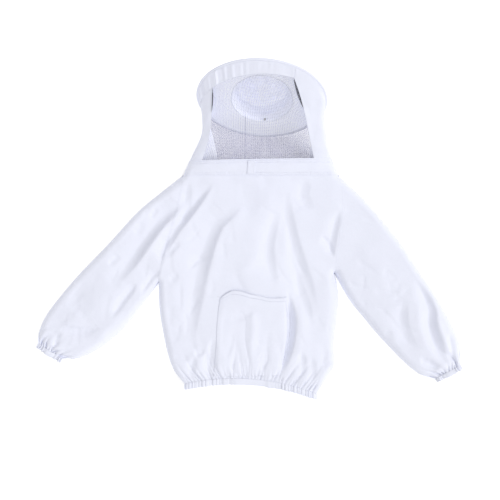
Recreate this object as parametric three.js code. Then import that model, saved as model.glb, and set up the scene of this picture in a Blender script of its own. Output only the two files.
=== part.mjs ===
// A pullover beekeeping smock with its hat and veil sewn on, laid on its back with the sleeves spread.
// Millimetres, +Z up from the surface it lies on, +Y towards the hat, +X towards the wearer's left.
// The origin is on that surface, under the middle of the chest.
import * as THREE from "three";

const RIGHT = -1; // the wearer's right lies on the -X side
const LEFT = 1;

// Cloth
const CLOTH = 2; // one layer of the body's cloth, with its loft
const NET = 1.2; // the veil's net
const SEAM_GAP = 0.3; // between edges that are sewn together
const FOLD_RISE = 3 * CLOTH; // height of the folded edge at the side of a flat-laid tube

// Body: where it lies, how wide it is and where its middle is, from the neck seam to the hem
const NECK_WIDTH = 496;
const CHEST_WIDTH = 562;
const BODY_EASE = 18; // the body is this much wider than the chest, half way down
const FLANK_EASE = -19; // and this much wider over the hem
const HEM_WIDTH = 424;
const NECK_Y = 238;
const HEM_Y = -441;
const UNDERARM_Y = -88;
const UNDERARM_SKEW = 13; // the wearer's left underarm lies this much higher, the right one lower
const HEM_SKEW = 16; // the hem's left end lies this much lower, the right one higher
const HEM_ARC = 32; // the middle of the hem is drawn up this much
const NECK_MIDDLE = 34; // the neck lies this far towards the wearer's left
const BODY_LOFT = 34; // height of the hollow inside the body
const HEM_RISE = 165; // it reaches that height this far above the hem

// Neck band, hem and cuffs
const BAND_DEPTH = 54;
const BAND_TOP_WIDTH = 456; // the neck band narrows to this at its upper edge
const BAND_CLOTH = 3;
const OVERLAP_WIDTH = 32; // where the band's ends lap over each other at the front
const CASING_DEPTH = 24; // the turned hem that holds the waist elastic
const CASING_HEIGHT = 30;
const HEM_GAP = 1.2; // between the casing and the panels, whose edges are curved
const ELASTIC = 2;
const WAIST_ELASTIC_WIDTH = 14;
const CUFF_WIDTH = 92;
const CUFF_HEIGHT = 24;
const CUFF_CASING_DEPTH = 18;
const CUFF_ELASTIC_WIDTH = 8;

// Pocket
const POCKET_WIDTH = 222;
const POCKET_BOTTOM_WIDTH = 190;
const POCKET_HEIGHT = 259;
const POCKET_ABOVE_HEM = 36;
const POCKET_MIDDLE = 6;
const POCKET_LOFT = 11; // how far the mouth stands open
const POCKET_GAP = 1.2; // between the pocket and the panel under it
const BARTACK = [11, 3, 1.6];
const BARTACK_GAP = 1.2; // over the pocket, which slopes under the bar tack

// Sleeves
const SLEEVE_LOFT = 30;
const RAGLAN_GAP = 1.8; // between the sleeve and the body, whose slanted seam is long

// Hat
const BRIM_WIDTH = 400;
const BRIM_DEPTH = 346; // front to back, as the brim lies flexed
const BRIM_CLOTH = 1.5;
const BRIM_STEM = 1.8; // half of the gap between the brim's two layers
const HOOP_RADIUS = 1.6;
const PIPING_RADIUS = 4.6;
const CROWN_WIDTH = 190; // of the opening for the head
const CROWN_DEPTH = 208; // front to back
const CROWN_TOP_WIDTH = 162;
const CROWN_HEIGHT = 80; // as the soft crown lies, sunk to about two thirds
const SWEATBAND_HEIGHT = 30;
const HAT_LEAN = 57; // degrees between the brim and the surface
const HAT_TURN = -4; // degrees about +Z
const VEIL_BACK_LENGTH = 73; // from the neck band to where the back of the brim touches the surface
const HAT_MIDDLE = 36;

// Veil
const WINDOW_BOTTOM = [-0.82, 0.74]; // the net's sides, as shares of the half width at the neck band
const WINDOW_TOP = [-0.6, 0.31]; // the same at its top
const WINDOW_BOW = [0, 0.05]; // and how far its sides bow out between
const TOP_BAND_SHARES = [0.155, 0.105]; // of the veil's length: the cloth above the net's right and left ends
const SIDE_PULL = [26, 10]; // how far the veil's right and left sides are drawn in
const BACK_SEAM = 118; // degrees round from the front to the seam of the net at the back
const VEIL_INSET = 8; // the veil hangs this far in from the edge of the brim
const VEIL_DROP = 7.5; // and this far under its middle plane

const white = new THREE.MeshStandardMaterial({ color: 0xeceffa, roughness: 0.9, metalness: 0 });
const offWhite = new THREE.MeshStandardMaterial({ color: 0xe2e5f0, roughness: 0.85, metalness: 0 });
const netGrey = new THREE.MeshStandardMaterial({ color: 0x55565c, roughness: 0.8, metalness: 0 });
const elasticWhite = new THREE.MeshStandardMaterial({ color: 0xf2f2ee, roughness: 0.7, metalness: 0 });
const hoopPlastic = new THREE.MeshStandardMaterial({ color: 0xf4f4f4, roughness: 0.4, metalness: 0 });

const { lerp, degToRad, clamp } = THREE.MathUtils;
const smock = new THREE.Group();

function add(name, geometry, material, parent = smock) {
  const mesh = new THREE.Mesh(geometry, material);
  mesh.name = name;
  parent.add(mesh);
  return mesh;
}

// ---- Ways of making cloth

// A sheet of even thickness whose middle surface is at(u, v), with u and v from 0 to 1.
function sheet(across, along, thickness, at) {
  const geometry = new THREE.BoxGeometry(1, 1, 1, across, along, 1);
  const position = geometry.getAttribute("position");
  const step = 1e-3;
  for (let i = 0; i < position.count; i++) {
    const u = position.getX(i) + 0.5;
    const v = position.getY(i) + 0.5;
    const alongU = at(Math.min(u + step, 1), v).sub(at(Math.max(u - step, 0), v));
    const alongV = at(u, Math.min(v + step, 1)).sub(at(u, Math.max(v - step, 0)));
    const normal = alongU.cross(alongV).normalize();
    const p = at(u, v).addScaledVector(normal, position.getZ(i) * thickness);
    position.setXYZ(i, p.x, p.y, p.z);
  }
  // The far face is cut along the same diagonals as the near one, so the thickness stays even.
  const far = geometry.groups[5];
  for (let i = far.start; i < far.start + far.count; i += 6) {
    const [a, b, d, , c] = geometry.index.array.slice(i, i + 6);
    geometry.index.array.set([a, b, c, a, c, d], i);
  }
  return geometry;
}

// The volume inside a closed geometry, below zero where its faces point inwards.
function signedVolume(geometry) {
  const position = geometry.getAttribute("position");
  const corners = [new THREE.Vector3(), new THREE.Vector3(), new THREE.Vector3()];
  let sixths = 0;
  for (let i = 0; i < geometry.index.count; i += 3) {
    corners.forEach((corner, k) => corner.fromBufferAttribute(position, geometry.index.getX(i + k)));
    sixths += corners[0].dot(corners[1].clone().cross(corners[2]));
  }
  return sixths / 6;
}

// A closed loop of `count` stations. Each point [r, h] of the closed profile goes to place(station, r, h).
function loop(count, profile, place) {
  const outline = [...profile, profile[0]].map(([r, h]) => new THREE.Vector2(r, h));
  const geometry = new THREE.LatheGeometry(outline, count);
  const position = geometry.getAttribute("position");
  for (let i = 0; i < position.count; i++) {
    const x = position.getX(i);
    const z = position.getZ(i);
    const station = (Math.round((Math.atan2(x, z) / (2 * Math.PI)) * count) + count) % count;
    const p = place(station, Math.hypot(x, z), position.getY(i));
    position.setXYZ(i, p.x, p.y, p.z);
  }
  if (signedVolume(geometry) < 0) geometry.index.array.reverse();
  return geometry;
}

// How much shorter or longer than wide the hat is at the radius r: the brim and the crown are both oval.
function depthShare(r) {
  const share = clamp((r - CROWN_WIDTH / 2) / ((BRIM_WIDTH - CROWN_WIDTH) / 2 - PIPING_RADIUS), 0, 1);
  return lerp(CROWN_DEPTH / CROWN_WIDTH, BRIM_DEPTH / BRIM_WIDTH, share);
}

// A ring round the hat's own axis, from the points [radius, height] of its section.
function hatRing(section, closed = true) {
  const outline = (closed ? [...section, section[0]] : section).map(([r, h]) => new THREE.Vector2(r, h));
  const geometry = new THREE.LatheGeometry(outline, 40).rotateX(Math.PI / 2);
  const position = geometry.getAttribute("position");
  for (let i = 0; i < position.count; i++) {
    const r = Math.hypot(position.getX(i), position.getY(i));
    position.setY(i, position.getY(i) * depthShare(r));
  }
  return geometry;
}

// ---- The outline that the body is laid out in

const bodyLevels = [
  { y: HEM_Y, width: HEM_WIDTH, middle: 0, skew: -HEM_SKEW },
  { y: lerp(HEM_Y, UNDERARM_Y, 0.31), width: CHEST_WIDTH + FLANK_EASE, middle: 5, skew: 0 },
  { y: lerp(HEM_Y, UNDERARM_Y, 0.74), width: CHEST_WIDTH + BODY_EASE, middle: -3, skew: 0 },
  { y: UNDERARM_Y, width: CHEST_WIDTH, middle: -10, skew: UNDERARM_SKEW },
  { y: lerp(UNDERARM_Y, NECK_Y, 0.55), width: lerp(CHEST_WIDTH, NECK_WIDTH, 0.77), middle: 30, skew: 0 },
  { y: NECK_Y, width: NECK_WIDTH, middle: NECK_MIDDLE, skew: 0 },
];
const UNDERARM_LEVEL = 3; // its place in the list
const UNDERARM_SHARE = UNDERARM_LEVEL / (bodyLevels.length - 1); // and along the curve of the side

// The body's side on the given side, from the hem at v = 0 to the neck at v = 1.
function bodySide(side) {
  return new THREE.CatmullRomCurve3(
    bodyLevels.map((l) => new THREE.Vector3(l.middle + (side * l.width) / 2, l.y + side * l.skew, 0)),
  );
}
const bodySides = { [RIGHT]: bodySide(RIGHT), [LEFT]: bodySide(LEFT) };
const hemCorner = { [RIGHT]: bodySides[RIGHT].getPoint(0), [LEFT]: bodySides[LEFT].getPoint(0) };
const underarm = (side) =>
  new THREE.Vector3(
    bodyLevels[UNDERARM_LEVEL].middle + (side * CHEST_WIDTH) / 2,
    UNDERARM_Y + side * UNDERARM_SKEW,
    0,
  );
const neckEnd = (side) => new THREE.Vector3(NECK_MIDDLE + (side * NECK_WIDTH) / 2, NECK_Y, 0);

// How high cloth stands over a hollow, s from -1 at one folded edge to 1 at the other.
const swell = (s, loft) => loft * (1 - Math.abs(s) ** 5);
const frontTop = (s, loft = BODY_LOFT) => FOLD_RISE - CLOTH / 2 + swell(s, loft);
// The body lies flatter towards the gathered hem.
const hemLoft = CASING_HEIGHT - 2 * CLOTH - FOLD_RISE / 2;
const bodyLoft = (y) => lerp(hemLoft, BODY_LOFT, clamp((y - HEM_Y) / HEM_RISE, 0, 1));

function bodyPoint(u, v, height) {
  const right = bodySides[RIGHT].getPoint(v);
  const left = bodySides[LEFT].getPoint(v);
  const s = 2 * u - 1;
  const y = lerp(right.y, left.y, u) + HEM_ARC * (1 - v) ** 4 * (1 - s * s);
  return new THREE.Vector3(lerp(right.x, left.x, u), y, height(s, y));
}

// ---- Body

function frontPanel() {
  return sheet(14, 14, CLOTH, (u, v) => bodyPoint(u, v, (s, y) => frontTop(s, bodyLoft(y))));
}

function backPanel() {
  return sheet(10, 14, CLOTH, (u, v) => bodyPoint(u, v, () => CLOTH / 2));
}

// Where the body's side is at the height y.
function sideX(side, y) {
  let [low, high] = [0, 1];
  for (let step = 0; step < 20; step++) {
    const middle = (low + high) / 2;
    if (bodySides[side].getPoint(middle).y < y) low = middle;
    else high = middle;
  }
  return bodySides[side].getPoint(low).x;
}

// How high the front panel's middle surface is over the point x, y.
function frontAt(x, y) {
  const right = sideX(RIGHT, y);
  const left = sideX(LEFT, y);
  return frontTop((2 * (x - right)) / (left - right) - 1, bodyLoft(y));
}

const pocketLift = (s, v) => POCKET_LOFT * v ** 0.3 * (1 - s ** 6);

function pocket() {
  const clear = CLOTH + POCKET_GAP;
  return sheet(10, 8, CLOTH, (u, v) => {
    const s = 2 * u - 1;
    const x = POCKET_MIDDLE + (s * lerp(POCKET_BOTTOM_WIDTH, POCKET_WIDTH, v)) / 2;
    const y = HEM_Y + POCKET_ABOVE_HEM + v * POCKET_HEIGHT;
    return new THREE.Vector3(x, y, frontAt(x, y) + clear + pocketLift(s, v));
  });
}

function bartack(side) {
  const x = POCKET_MIDDLE + side * (POCKET_WIDTH / 2 - BARTACK[0] / 2);
  const y = HEM_Y + POCKET_ABOVE_HEM + POCKET_HEIGHT - BARTACK[1] / 2;
  const mesh = new THREE.BoxGeometry(...BARTACK);
  const pocketTop = frontAt(x, y) + 1.5 * CLOTH + POCKET_GAP + pocketLift(1 - BARTACK[0] / POCKET_WIDTH, 1);
  return mesh.translate(x, y, pocketTop + BARTACK[2] / 2 + BARTACK_GAP);
}

function neckBand(height, across) {
  return sheet(across, 1, BAND_CLOTH, (u, v) => {
    const s = 2 * u - 1;
    const y = NECK_Y + SEAM_GAP + v * BAND_DEPTH;
    return new THREE.Vector3(NECK_MIDDLE + (s * lerp(NECK_WIDTH, BAND_TOP_WIDTH, v)) / 2, y, height(s));
  });
}

function bandOverlap() {
  const lift = frontTop(0) + BAND_CLOTH / 2 + CLOTH / 2 + 2 * SEAM_GAP;
  const box = new THREE.BoxGeometry(OVERLAP_WIDTH, BAND_DEPTH - 12, CLOTH, 1, 1, 1);
  return box.translate(-1, NECK_Y + BAND_DEPTH / 2, lift);
}

// ---- Bands of turned cloth with elastic inside, round a flat-laid opening

// Stations round a flat opening: across the top, round one fold, back along the bottom, round the other fold.
function stadium(halfWidth, halfHeight, run = 12, bend = 5) {
  const stations = [];
  const straight = halfWidth - halfHeight;
  const put = (x, z, angle) => stations.push({ x, z, nx: Math.cos(angle), nz: Math.sin(angle) });
  for (const side of [1, -1]) {
    const outwards = (side * Math.PI) / 2;
    for (let i = 0; i < run; i++) put(side * lerp(-straight, straight, i / run), side * halfHeight, outwards);
    for (let i = 0; i < bend; i++) {
      const angle = outwards - (i / bend) * Math.PI;
      put(side * straight + halfHeight * Math.cos(angle), halfHeight * Math.sin(angle), angle);
    }
  }
  return stations;
}

// The turned hem: an outer and an inner layer, joined at the fold and open where it is sewn to the panel.
const CHANNEL = ELASTIC + 2 * SEAM_GAP;
const casingWall = 2 * CLOTH + CHANNEL;
const channelSection = (depth) => [
  [0, 0],
  [CLOTH, 0],
  [CLOTH, depth - CLOTH],
  [CLOTH + CHANNEL, depth - CLOTH],
  [CLOTH + CHANNEL, 0],
  [casingWall, 0],
  [casingWall, depth],
  [0, depth],
];
const elasticSection = (depth, width) => [
  [CLOTH + SEAM_GAP, depth - CLOTH - SEAM_GAP - width],
  [CLOTH + SEAM_GAP + ELASTIC, depth - CLOTH - SEAM_GAP - width],
  [CLOTH + SEAM_GAP + ELASTIC, depth - CLOTH - SEAM_GAP],
  [CLOTH + SEAM_GAP, depth - CLOTH - SEAM_GAP],
];

// A band of [layer, depth] pairs: layer 0 is its inner face, and depth runs away from the garment.
function band(section, stations, place) {
  const base = 10; // keeps every radius of the lathe above zero
  const profile = section.map(([layer, depth]) => [base + layer, depth]);
  return loop(stations.length, profile, (i, r, h) => {
    const { x, z, nx, nz } = stations[i];
    return place(x + nx * (r - base), z + nz * (r - base), h);
  });
}

function hemPlace(x, z, depth) {
  const s = clamp(x / (HEM_WIDTH / 2), -1, 1);
  const y = lerp(hemCorner[RIGHT].y, hemCorner[LEFT].y, (s + 1) / 2) + HEM_ARC * (1 - s * s);
  return new THREE.Vector3(x + bodyLevels[0].middle, y - HEM_GAP - depth, z + CASING_HEIGHT / 2);
}
const hemStations = stadium(HEM_WIDTH / 2 - casingWall, CASING_HEIGHT / 2 - casingWall);

// ---- Sleeves

// How far out and up from the underarm each cuff lies, the way it points, and how its edges bow outwards:
// [share of the way from the body to the cuff, millimetres off the straight line].
const sleeveShape = {
  [RIGHT]: {
    reach: [345, -221],
    axis: 238,
    upper: [[0.265, 34], [0.565, 40], [0.86, 40], [0.98, 11]],
    lower: [[0.27, 29], [0.63, 53], [0.89, 32]],
  },
  [LEFT]: {
    reach: [359, -313],
    axis: 298,
    upper: [[0.23, 38], [0.5, 52], [0.76, 53], [0.95, 26]],
    lower: [[0.35, 30], [0.66, 36], [0.91, 28]],
  },
};

// A curve from start to end through points that bow out from the straight line.
function bowed(start, end, bows, turn) {
  const along = end.clone().sub(start).normalize();
  const outwards = new THREE.Vector3(-along.y, along.x, 0).multiplyScalar(turn);
  const between = bows.map(([share, bow]) => start.clone().lerp(end, share).addScaledVector(outwards, bow));
  return new THREE.CatmullRomCurve3([start, ...between, end]);
}

function sleeveFrame(side) {
  const { reach, axis, upper, lower } = sleeveShape[side];
  const along = new THREE.Vector3(Math.cos(degToRad(axis)), Math.sin(degToRad(axis)), 0);
  const across = new THREE.Vector3(-along.y, along.x, 0).multiplyScalar(side);
  const end = underarm(side).add(new THREE.Vector3(side * reach[0], reach[1], 0));
  const cuffPoint = (k) => end.clone().addScaledVector(across, (k * CUFF_WIDTH) / 2);
  const top = bowed(neckEnd(side), cuffPoint(1), upper, side);
  const bottom = bowed(underarm(side), cuffPoint(-1), lower, -side);
  return { side, along, across, end, top, bottom };
}

function sleeve(frame) {
  const rows = 14;
  const columns = 10;
  const stations = [];
  for (const layer of [1, -1]) {
    for (let i = 0; i < columns; i++) stations.push({ s: layer * lerp(-1, 1, i / columns), layer });
  }
  const [inner, outer] = [10, 11]; // radii that tell the two faces apart on the lathe
  const walk = (r) => Array.from({ length: rows + 1 }, (_, i) => [r, i / rows]);
  const profile = [...walk(outer), ...walk(inner).reverse()];
  return loop(stations.length, profile, (i, r, v) => {
    const { s, layer } = stations[i];
    const inside = r < (inner + outer) / 2;
    const low = frame.bottom.getPoint(v);
    const high = frame.top.getPoint(v);
    const width = low.distanceTo(high);
    const share = ((inside ? (s * (width - 4 * CLOTH)) / width : s) + 1) / 2;
    const p = low.clone().lerp(high, share);
    const seam = bodySides[frame.side].getPoint(lerp(UNDERARM_SHARE, 1, share));
    const chord = underarm(frame.side).lerp(neckEnd(frame.side), share);
    p.add(seam.sub(chord).multiplyScalar((1 - v) ** 3));
    p.x += frame.side * RAGLAN_GAP * (1 - v);
    const loft = lerp(SLEEVE_LOFT, CUFF_HEIGHT - FOLD_RISE, clamp((v - 0.8) / 0.2, 0, 1));
    if (layer > 0) p.z = FOLD_RISE + swell(s, loft) - (inside ? CLOTH : 0);
    else p.z = inside ? CLOTH : 0;
    return p;
  });
}

function cuffPlace(frame) {
  return (x, z, depth) =>
    frame.end
      .clone()
      .addScaledVector(frame.across, x)
      .addScaledVector(frame.along, depth + SEAM_GAP)
      .setZ(z + CUFF_HEIGHT / 2);
}
const cuffStations = stadium(CUFF_WIDTH / 2 - casingWall, CUFF_HEIGHT / 2 - casingWall, 5, 4);

// ---- Hat

const brimEdge = BRIM_WIDTH / 2;
const lean = degToRad(HAT_LEAN);
const HAT_BACK_Y = NECK_Y + BAND_DEPTH + VEIL_BACK_LENGTH;
const hatTurned = new THREE.Group();
const hatRise = (BRIM_DEPTH / 2) * Math.sin(lean) + HOOP_RADIUS;
hatTurned.position.set(HAT_MIDDLE, HAT_BACK_Y + (BRIM_DEPTH / 2) * Math.cos(lean), hatRise);
hatTurned.rotation.z = degToRad(HAT_TURN);
const hat = new THREE.Group(); // local +Y is the front of the brim, local -Z is the crown's side
hat.rotation.x = lean;
hatTurned.add(hat);
smock.add(hatTurned);

const crownEdge = CROWN_WIDTH / 2;

function brimLayer(under) {
  const near = BRIM_STEM - BRIM_CLOTH / 2;
  const far = near + BRIM_CLOTH;
  const inner = crownEdge + SEAM_GAP;
  const outer = brimEdge - PIPING_RADIUS - SEAM_GAP;
  const heights = under ? [near, far] : [-far, -near];
  return hatRing([[inner, heights[0]], [outer, heights[0]], [outer, heights[1]], [inner, heights[1]]]);
}

function hoop() {
  const middle = brimEdge - BRIM_CLOTH - SEAM_GAP - HOOP_RADIUS;
  const section = [];
  for (let i = 0; i < 8; i++) {
    const angle = (i / 8) * 2 * Math.PI;
    section.push([middle + HOOP_RADIUS * Math.cos(angle), HOOP_RADIUS * Math.sin(angle)]);
  }
  return hatRing(section);
}

// A strip of cloth folded round the hoop and the edges of both layers.
function piping() {
  const far = BRIM_STEM + BRIM_CLOTH / 2 + SEAM_GAP;
  const lip = 9;
  const inner = brimEdge - PIPING_RADIUS - lip;
  const tip = brimEdge;
  return hatRing([
    [inner, far],
    [tip - PIPING_RADIUS + 1, far],
    [tip - BRIM_CLOTH, HOOP_RADIUS],
    [tip - BRIM_CLOTH, -HOOP_RADIUS],
    [tip - PIPING_RADIUS + 1, -far],
    [inner, -far],
    [inner, -far - BRIM_CLOTH],
    [tip - PIPING_RADIUS + 1, -far - BRIM_CLOTH],
    [tip, -HOOP_RADIUS],
    [tip, HOOP_RADIUS],
    [tip - PIPING_RADIUS + 1, far + BRIM_CLOTH],
    [inner, far + BRIM_CLOTH],
  ]);
}

function crownSide() {
  const top = CROWN_TOP_WIDTH / 2;
  return hatRing([
    [crownEdge - BRIM_CLOTH, BRIM_STEM],
    [top - BRIM_CLOTH, -CROWN_HEIGHT],
    [top, -CROWN_HEIGHT],
    [crownEdge, BRIM_STEM],
  ]);
}

function crownTop() {
  const radius = CROWN_TOP_WIDTH / 2;
  const rise = 7;
  const rings = 4;
  const dome = (r, lift) => [r, -CROWN_HEIGHT - SEAM_GAP - lift - rise * (1 - (r / radius) ** 2)];
  const walk = (lift) => Array.from({ length: rings + 1 }, (_, i) => dome((radius * i) / rings, lift));
  return hatRing([...walk(0), ...walk(BRIM_CLOTH).reverse()].reverse(), false);
}

function sweatband() {
  const slope = (crownEdge - CROWN_TOP_WIDTH / 2) / (CROWN_HEIGHT + BRIM_STEM);
  const face = crownEdge - BRIM_CLOTH - 2 * SEAM_GAP;
  const down = BRIM_STEM - SWEATBAND_HEIGHT;
  return hatRing([
    [face - BRIM_CLOTH, BRIM_STEM],
    [face - BRIM_CLOTH - slope * SWEATBAND_HEIGHT, down],
    [face - slope * SWEATBAND_HEIGHT, down],
    [face, BRIM_STEM],
  ]);
}

// The knot of the sweatband's draw elastic, at the back of the head opening.
function knot() {
  const radius = 3.4;
  const back = (crownEdge - 2 * BRIM_CLOTH) * depthShare(0) - 2 * radius;
  return new THREE.SphereGeometry(radius, 12, 8).scale(1.5, 1, 1).translate(14, -back, -2);
}

// ---- Veil: cloth and net from the neck band up to the brim's edge

// angle is in degrees round from the front, towards the wearer's left, and q runs from the neck to the brim.
function veilPoint(angle, q, thickness = CLOTH) {
  const turned = ((angle + 540) % 360) - 180;
  const front = Math.abs(turned) <= 90;
  const s = front ? turned / 90 : (Math.sign(turned) * (180 - Math.abs(turned))) / 90;
  const foot = new THREE.Vector3(
    NECK_MIDDLE + (s * BAND_TOP_WIDTH) / 2,
    NECK_Y + BAND_DEPTH + SEAM_GAP + CLOTH,
    front ? frontTop(s, BODY_LOFT - CLOTH) : thickness / 2,
  );
  const round = degToRad(turned);
  const edge = new THREE.Vector3(
    (brimEdge - VEIL_INSET) * Math.sin(round),
    (brimEdge - VEIL_INSET) * depthShare(brimEdge) * Math.cos(round),
    VEIL_DROP,
  );
  edge.applyEuler(new THREE.Euler(lean, 0, degToRad(HAT_TURN), "ZYX"));
  edge.add(hatTurned.position);
  const p = foot.lerp(edge, q);
  const pull = s < 0 ? SIDE_PULL[0] : SIDE_PULL[1];
  p.x -= Math.sign(s) * pull * Math.abs(s) ** 3 * Math.sin(Math.PI * q);
  return p;
}

const windowSpan = WINDOW_TOP.map((share) => 90 * share);
const netTop = (angle) =>
  1 - lerp(...TOP_BAND_SHARES, clamp((angle - windowSpan[0]) / (windowSpan[1] - windowSpan[0]), 0, 1));
// The angle of the net's right (0) or left (1) side at the height q.
function windowEdge(i, q) {
  const t = clamp(q / netTop(windowSpan[i]), 0, 1);
  return 90 * (lerp(WINDOW_BOTTOM[i], WINDOW_TOP[i], t) + WINDOW_BOW[i] * 4 * t * (1 - t));
}
const SEAM_TURN = 0.6; // degrees of clearance beside each of the veil's seams
const TOP_CLEAR = 0.012; // share of the veil's length that is clear under its top band

function net() {
  return sheet(10, 8, NET, (u, v) => {
    const top = netTop(lerp(...windowSpan, u)) - TOP_CLEAR;
    const q = v * top;
    return veilPoint(lerp(windowEdge(0, q), windowEdge(1, q), u), q, NET);
  });
}

function topBand() {
  const ends = [-BACK_SEAM + SEAM_TURN, windowSpan[1] - SEAM_TURN];
  return sheet(18, 2, CLOTH, (u, v) => {
    const angle = lerp(...ends, u);
    return veilPoint(angle, lerp(netTop(angle), 1, v));
  });
}

// Halfway across, each side panel folds round the end of the neck band.
function sideAngle(side, front, u) {
  const fold = side * 90;
  const back = side * (BACK_SEAM - SEAM_TURN);
  return u < 0.5 ? lerp(front, fold, 2 * u) : lerp(fold, back, 2 * u - 1);
}

function veilSideRight() {
  return sheet(8, 8, CLOTH, (u, v) => {
    const q = v * (netTop(windowSpan[0]) - TOP_CLEAR);
    return veilPoint(sideAngle(RIGHT, windowEdge(0, q) - SEAM_TURN, 1 - u), q);
  });
}

function veilSideLeft() {
  return sheet(8, 8, CLOTH, (u, v) => {
    return veilPoint(sideAngle(LEFT, windowEdge(1, v) + SEAM_TURN, u), v);
  });
}

function veilBack() {
  const first = BACK_SEAM + SEAM_TURN;
  return sheet(8, 6, NET, (u, v) => veilPoint(lerp(first, 360 - first, u), v, NET));
}

// ---- Assembly

add("front_panel", frontPanel(), white);
add("back_panel", backPanel(), white);
add("front_pocket", pocket(), white);
add("pocket_bartack_right", bartack(RIGHT), offWhite);
add("pocket_bartack_left", bartack(LEFT), offWhite);
add("neck_band_front", neckBand((s) => frontTop(s), 14), white);
add("neck_band_back", neckBand(() => BAND_CLOTH / 2, 2), white);
add("neck_band_overlap", bandOverlap(), offWhite);
add("hem_casing", band(channelSection(CASING_DEPTH), hemStations, hemPlace), white);
const waistElastic = elasticSection(CASING_DEPTH, WAIST_ELASTIC_WIDTH);
add("waist_elastic", band(waistElastic, hemStations, hemPlace), elasticWhite);

for (const [side, name] of [[RIGHT, "right"], [LEFT, "left"]]) {
  const frame = sleeveFrame(side);
  add(`${name}_sleeve`, sleeve(frame), white);
  const place = cuffPlace(frame);
  add(`${name}_cuff_casing`, band(channelSection(CUFF_CASING_DEPTH), cuffStations, place), white);
  const cuffElastic = elasticSection(CUFF_CASING_DEPTH, CUFF_ELASTIC_WIDTH);
  add(`${name}_cuff_elastic`, band(cuffElastic, cuffStations, place), elasticWhite);
}

add("veil_net", net(), netGrey);
add("veil_side_right", veilSideRight(), white);
add("veil_side_left", veilSideLeft(), white);
add("veil_top_band", topBand(), white);
add("veil_back", veilBack(), netGrey);
add("brim_under", brimLayer(true), white, hat);
add("brim_upper", brimLayer(false), white, hat);
add("brim_hoop", hoop(), hoopPlastic, hat);
add("brim_piping", piping(), white, hat);
add("crown_side", crownSide(), white, hat);
add("crown_top", crownTop(), white, hat);
add("sweatband", sweatband(), offWhite, hat);
add("sweatband_knot", knot(), elasticWhite, hat);

export default smock;
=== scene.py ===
"""A pullover beekeeping smock with its hat and veil, laid on its back with the sleeves spread.

Metres, +Z up from the surface it lies on, +Y towards the hat, +X towards the wearer's left.
"""
import math

import bmesh
import bpy
import numpy as np
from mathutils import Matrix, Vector


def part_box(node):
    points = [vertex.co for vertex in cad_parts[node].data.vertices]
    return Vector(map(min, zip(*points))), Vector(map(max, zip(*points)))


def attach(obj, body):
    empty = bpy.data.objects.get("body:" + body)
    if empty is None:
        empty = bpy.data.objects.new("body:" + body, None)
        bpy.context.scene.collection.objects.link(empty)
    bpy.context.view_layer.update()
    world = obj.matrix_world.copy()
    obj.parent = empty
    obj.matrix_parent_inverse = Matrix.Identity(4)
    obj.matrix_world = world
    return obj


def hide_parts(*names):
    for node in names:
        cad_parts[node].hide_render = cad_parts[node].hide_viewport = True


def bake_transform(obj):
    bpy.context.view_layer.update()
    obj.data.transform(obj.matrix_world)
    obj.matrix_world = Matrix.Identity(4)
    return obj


bl_info = {
    "name": "Beekeeping smock",
    "version": (1, 0, 0),
    "blender": (4, 5, 0),
    "location": "View3D > Sidebar > Smock",
    "description": "Makes a beekeeper's smock with a sewn-on hat and veil",
    "category": "Mesh",
}

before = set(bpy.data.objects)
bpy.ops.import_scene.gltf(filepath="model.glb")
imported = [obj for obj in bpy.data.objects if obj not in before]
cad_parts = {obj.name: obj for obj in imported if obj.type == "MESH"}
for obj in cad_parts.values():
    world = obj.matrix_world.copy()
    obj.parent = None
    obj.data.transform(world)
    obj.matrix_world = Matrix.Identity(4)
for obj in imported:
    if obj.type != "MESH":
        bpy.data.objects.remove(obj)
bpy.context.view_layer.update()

MM = 0.001
RIGHT, LEFT = -1, 1  # the wearer's right lies on the -X side
WORD = {RIGHT: "right", LEFT: "left"}


def top_of(node):
    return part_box(node)[1]


# ---- Where the smock lies, in millimetres: each edge is a curve through these points

NECK_Y = top_of("front_panel")[1] / MM
BAND_TOP_Y = top_of("neck_band_front")[1] / MM
NECK_ENDS = {RIGHT: (-214, NECK_Y), LEFT: (282, NECK_Y)}
BAND_ENDS = {RIGHT: (-194, BAND_TOP_Y), LEFT: (262, BAND_TOP_Y)}
RAGLAN = {  # from the underarm up to the neck
    RIGHT: [(-292, -104), (-268, 0), (-237, 110), (-218, 190), NECK_ENDS[RIGHT]],
    LEFT: [(270, -74), (281, 20), (293, 110), (292, 190), NECK_ENDS[LEFT]],
}
SIDE = {  # from the hem up to the underarm
    RIGHT: [(-208, -426), (-242, -386), (-261, -338), (-276, -270), (-289, -190), RAGLAN[RIGHT][0]],
    LEFT: [(212, -458), (246, -408), (272, -362), (269, -300), (279, -220), (284, -150), RAGLAN[LEFT][0]],
}
SLEEVE_TOP = {  # from the neck out to the cuff
    RIGHT: [NECK_ENDS[RIGHT], (-298, 172), (-359, 121), (-452, 19), (-550, -83), (-614, -159), (-652, -210),
            (-674, -261), (-675, -298)],
    LEFT: [NECK_ENDS[LEFT], (353, 172), (401, 121), (483, 19), (550, -83), (601, -159), (655, -261),
           (672, -318), (671, -366)],
}
SLEEVE_UNDER = {  # from the underarm out to the cuff
    RIGHT: [RAGLAN[RIGHT][0], (-331, -159), (-369, -210), (-413, -261), (-477, -312), (-545, -345),
            (-597, -347)],
    LEFT: [RAGLAN[LEFT][0], (318, -159), (359, -210), (401, -261), (448, -312), (499, -363), (545, -398),
           (589, -410)],
}
CUFF_AIM = {RIGHT: math.radians(238), LEFT: math.radians(298)}
HEM_ARC = 32  # how far the middle of the hem is drawn up from a straight line between its ends

UNDERSIDE = 0.9  # how high the lower layer's upper face lies, in millimetres
EDGE_RADIUS = 24.0  # of the soft fold at the side of the flat-laid body and sleeves
EDGE_HEIGHT = 25.0  # how high the cloth stands just inside that fold
SWELL = 10.0  # how much higher it stands in the middle
SWELL_REACH = 90.0


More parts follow.
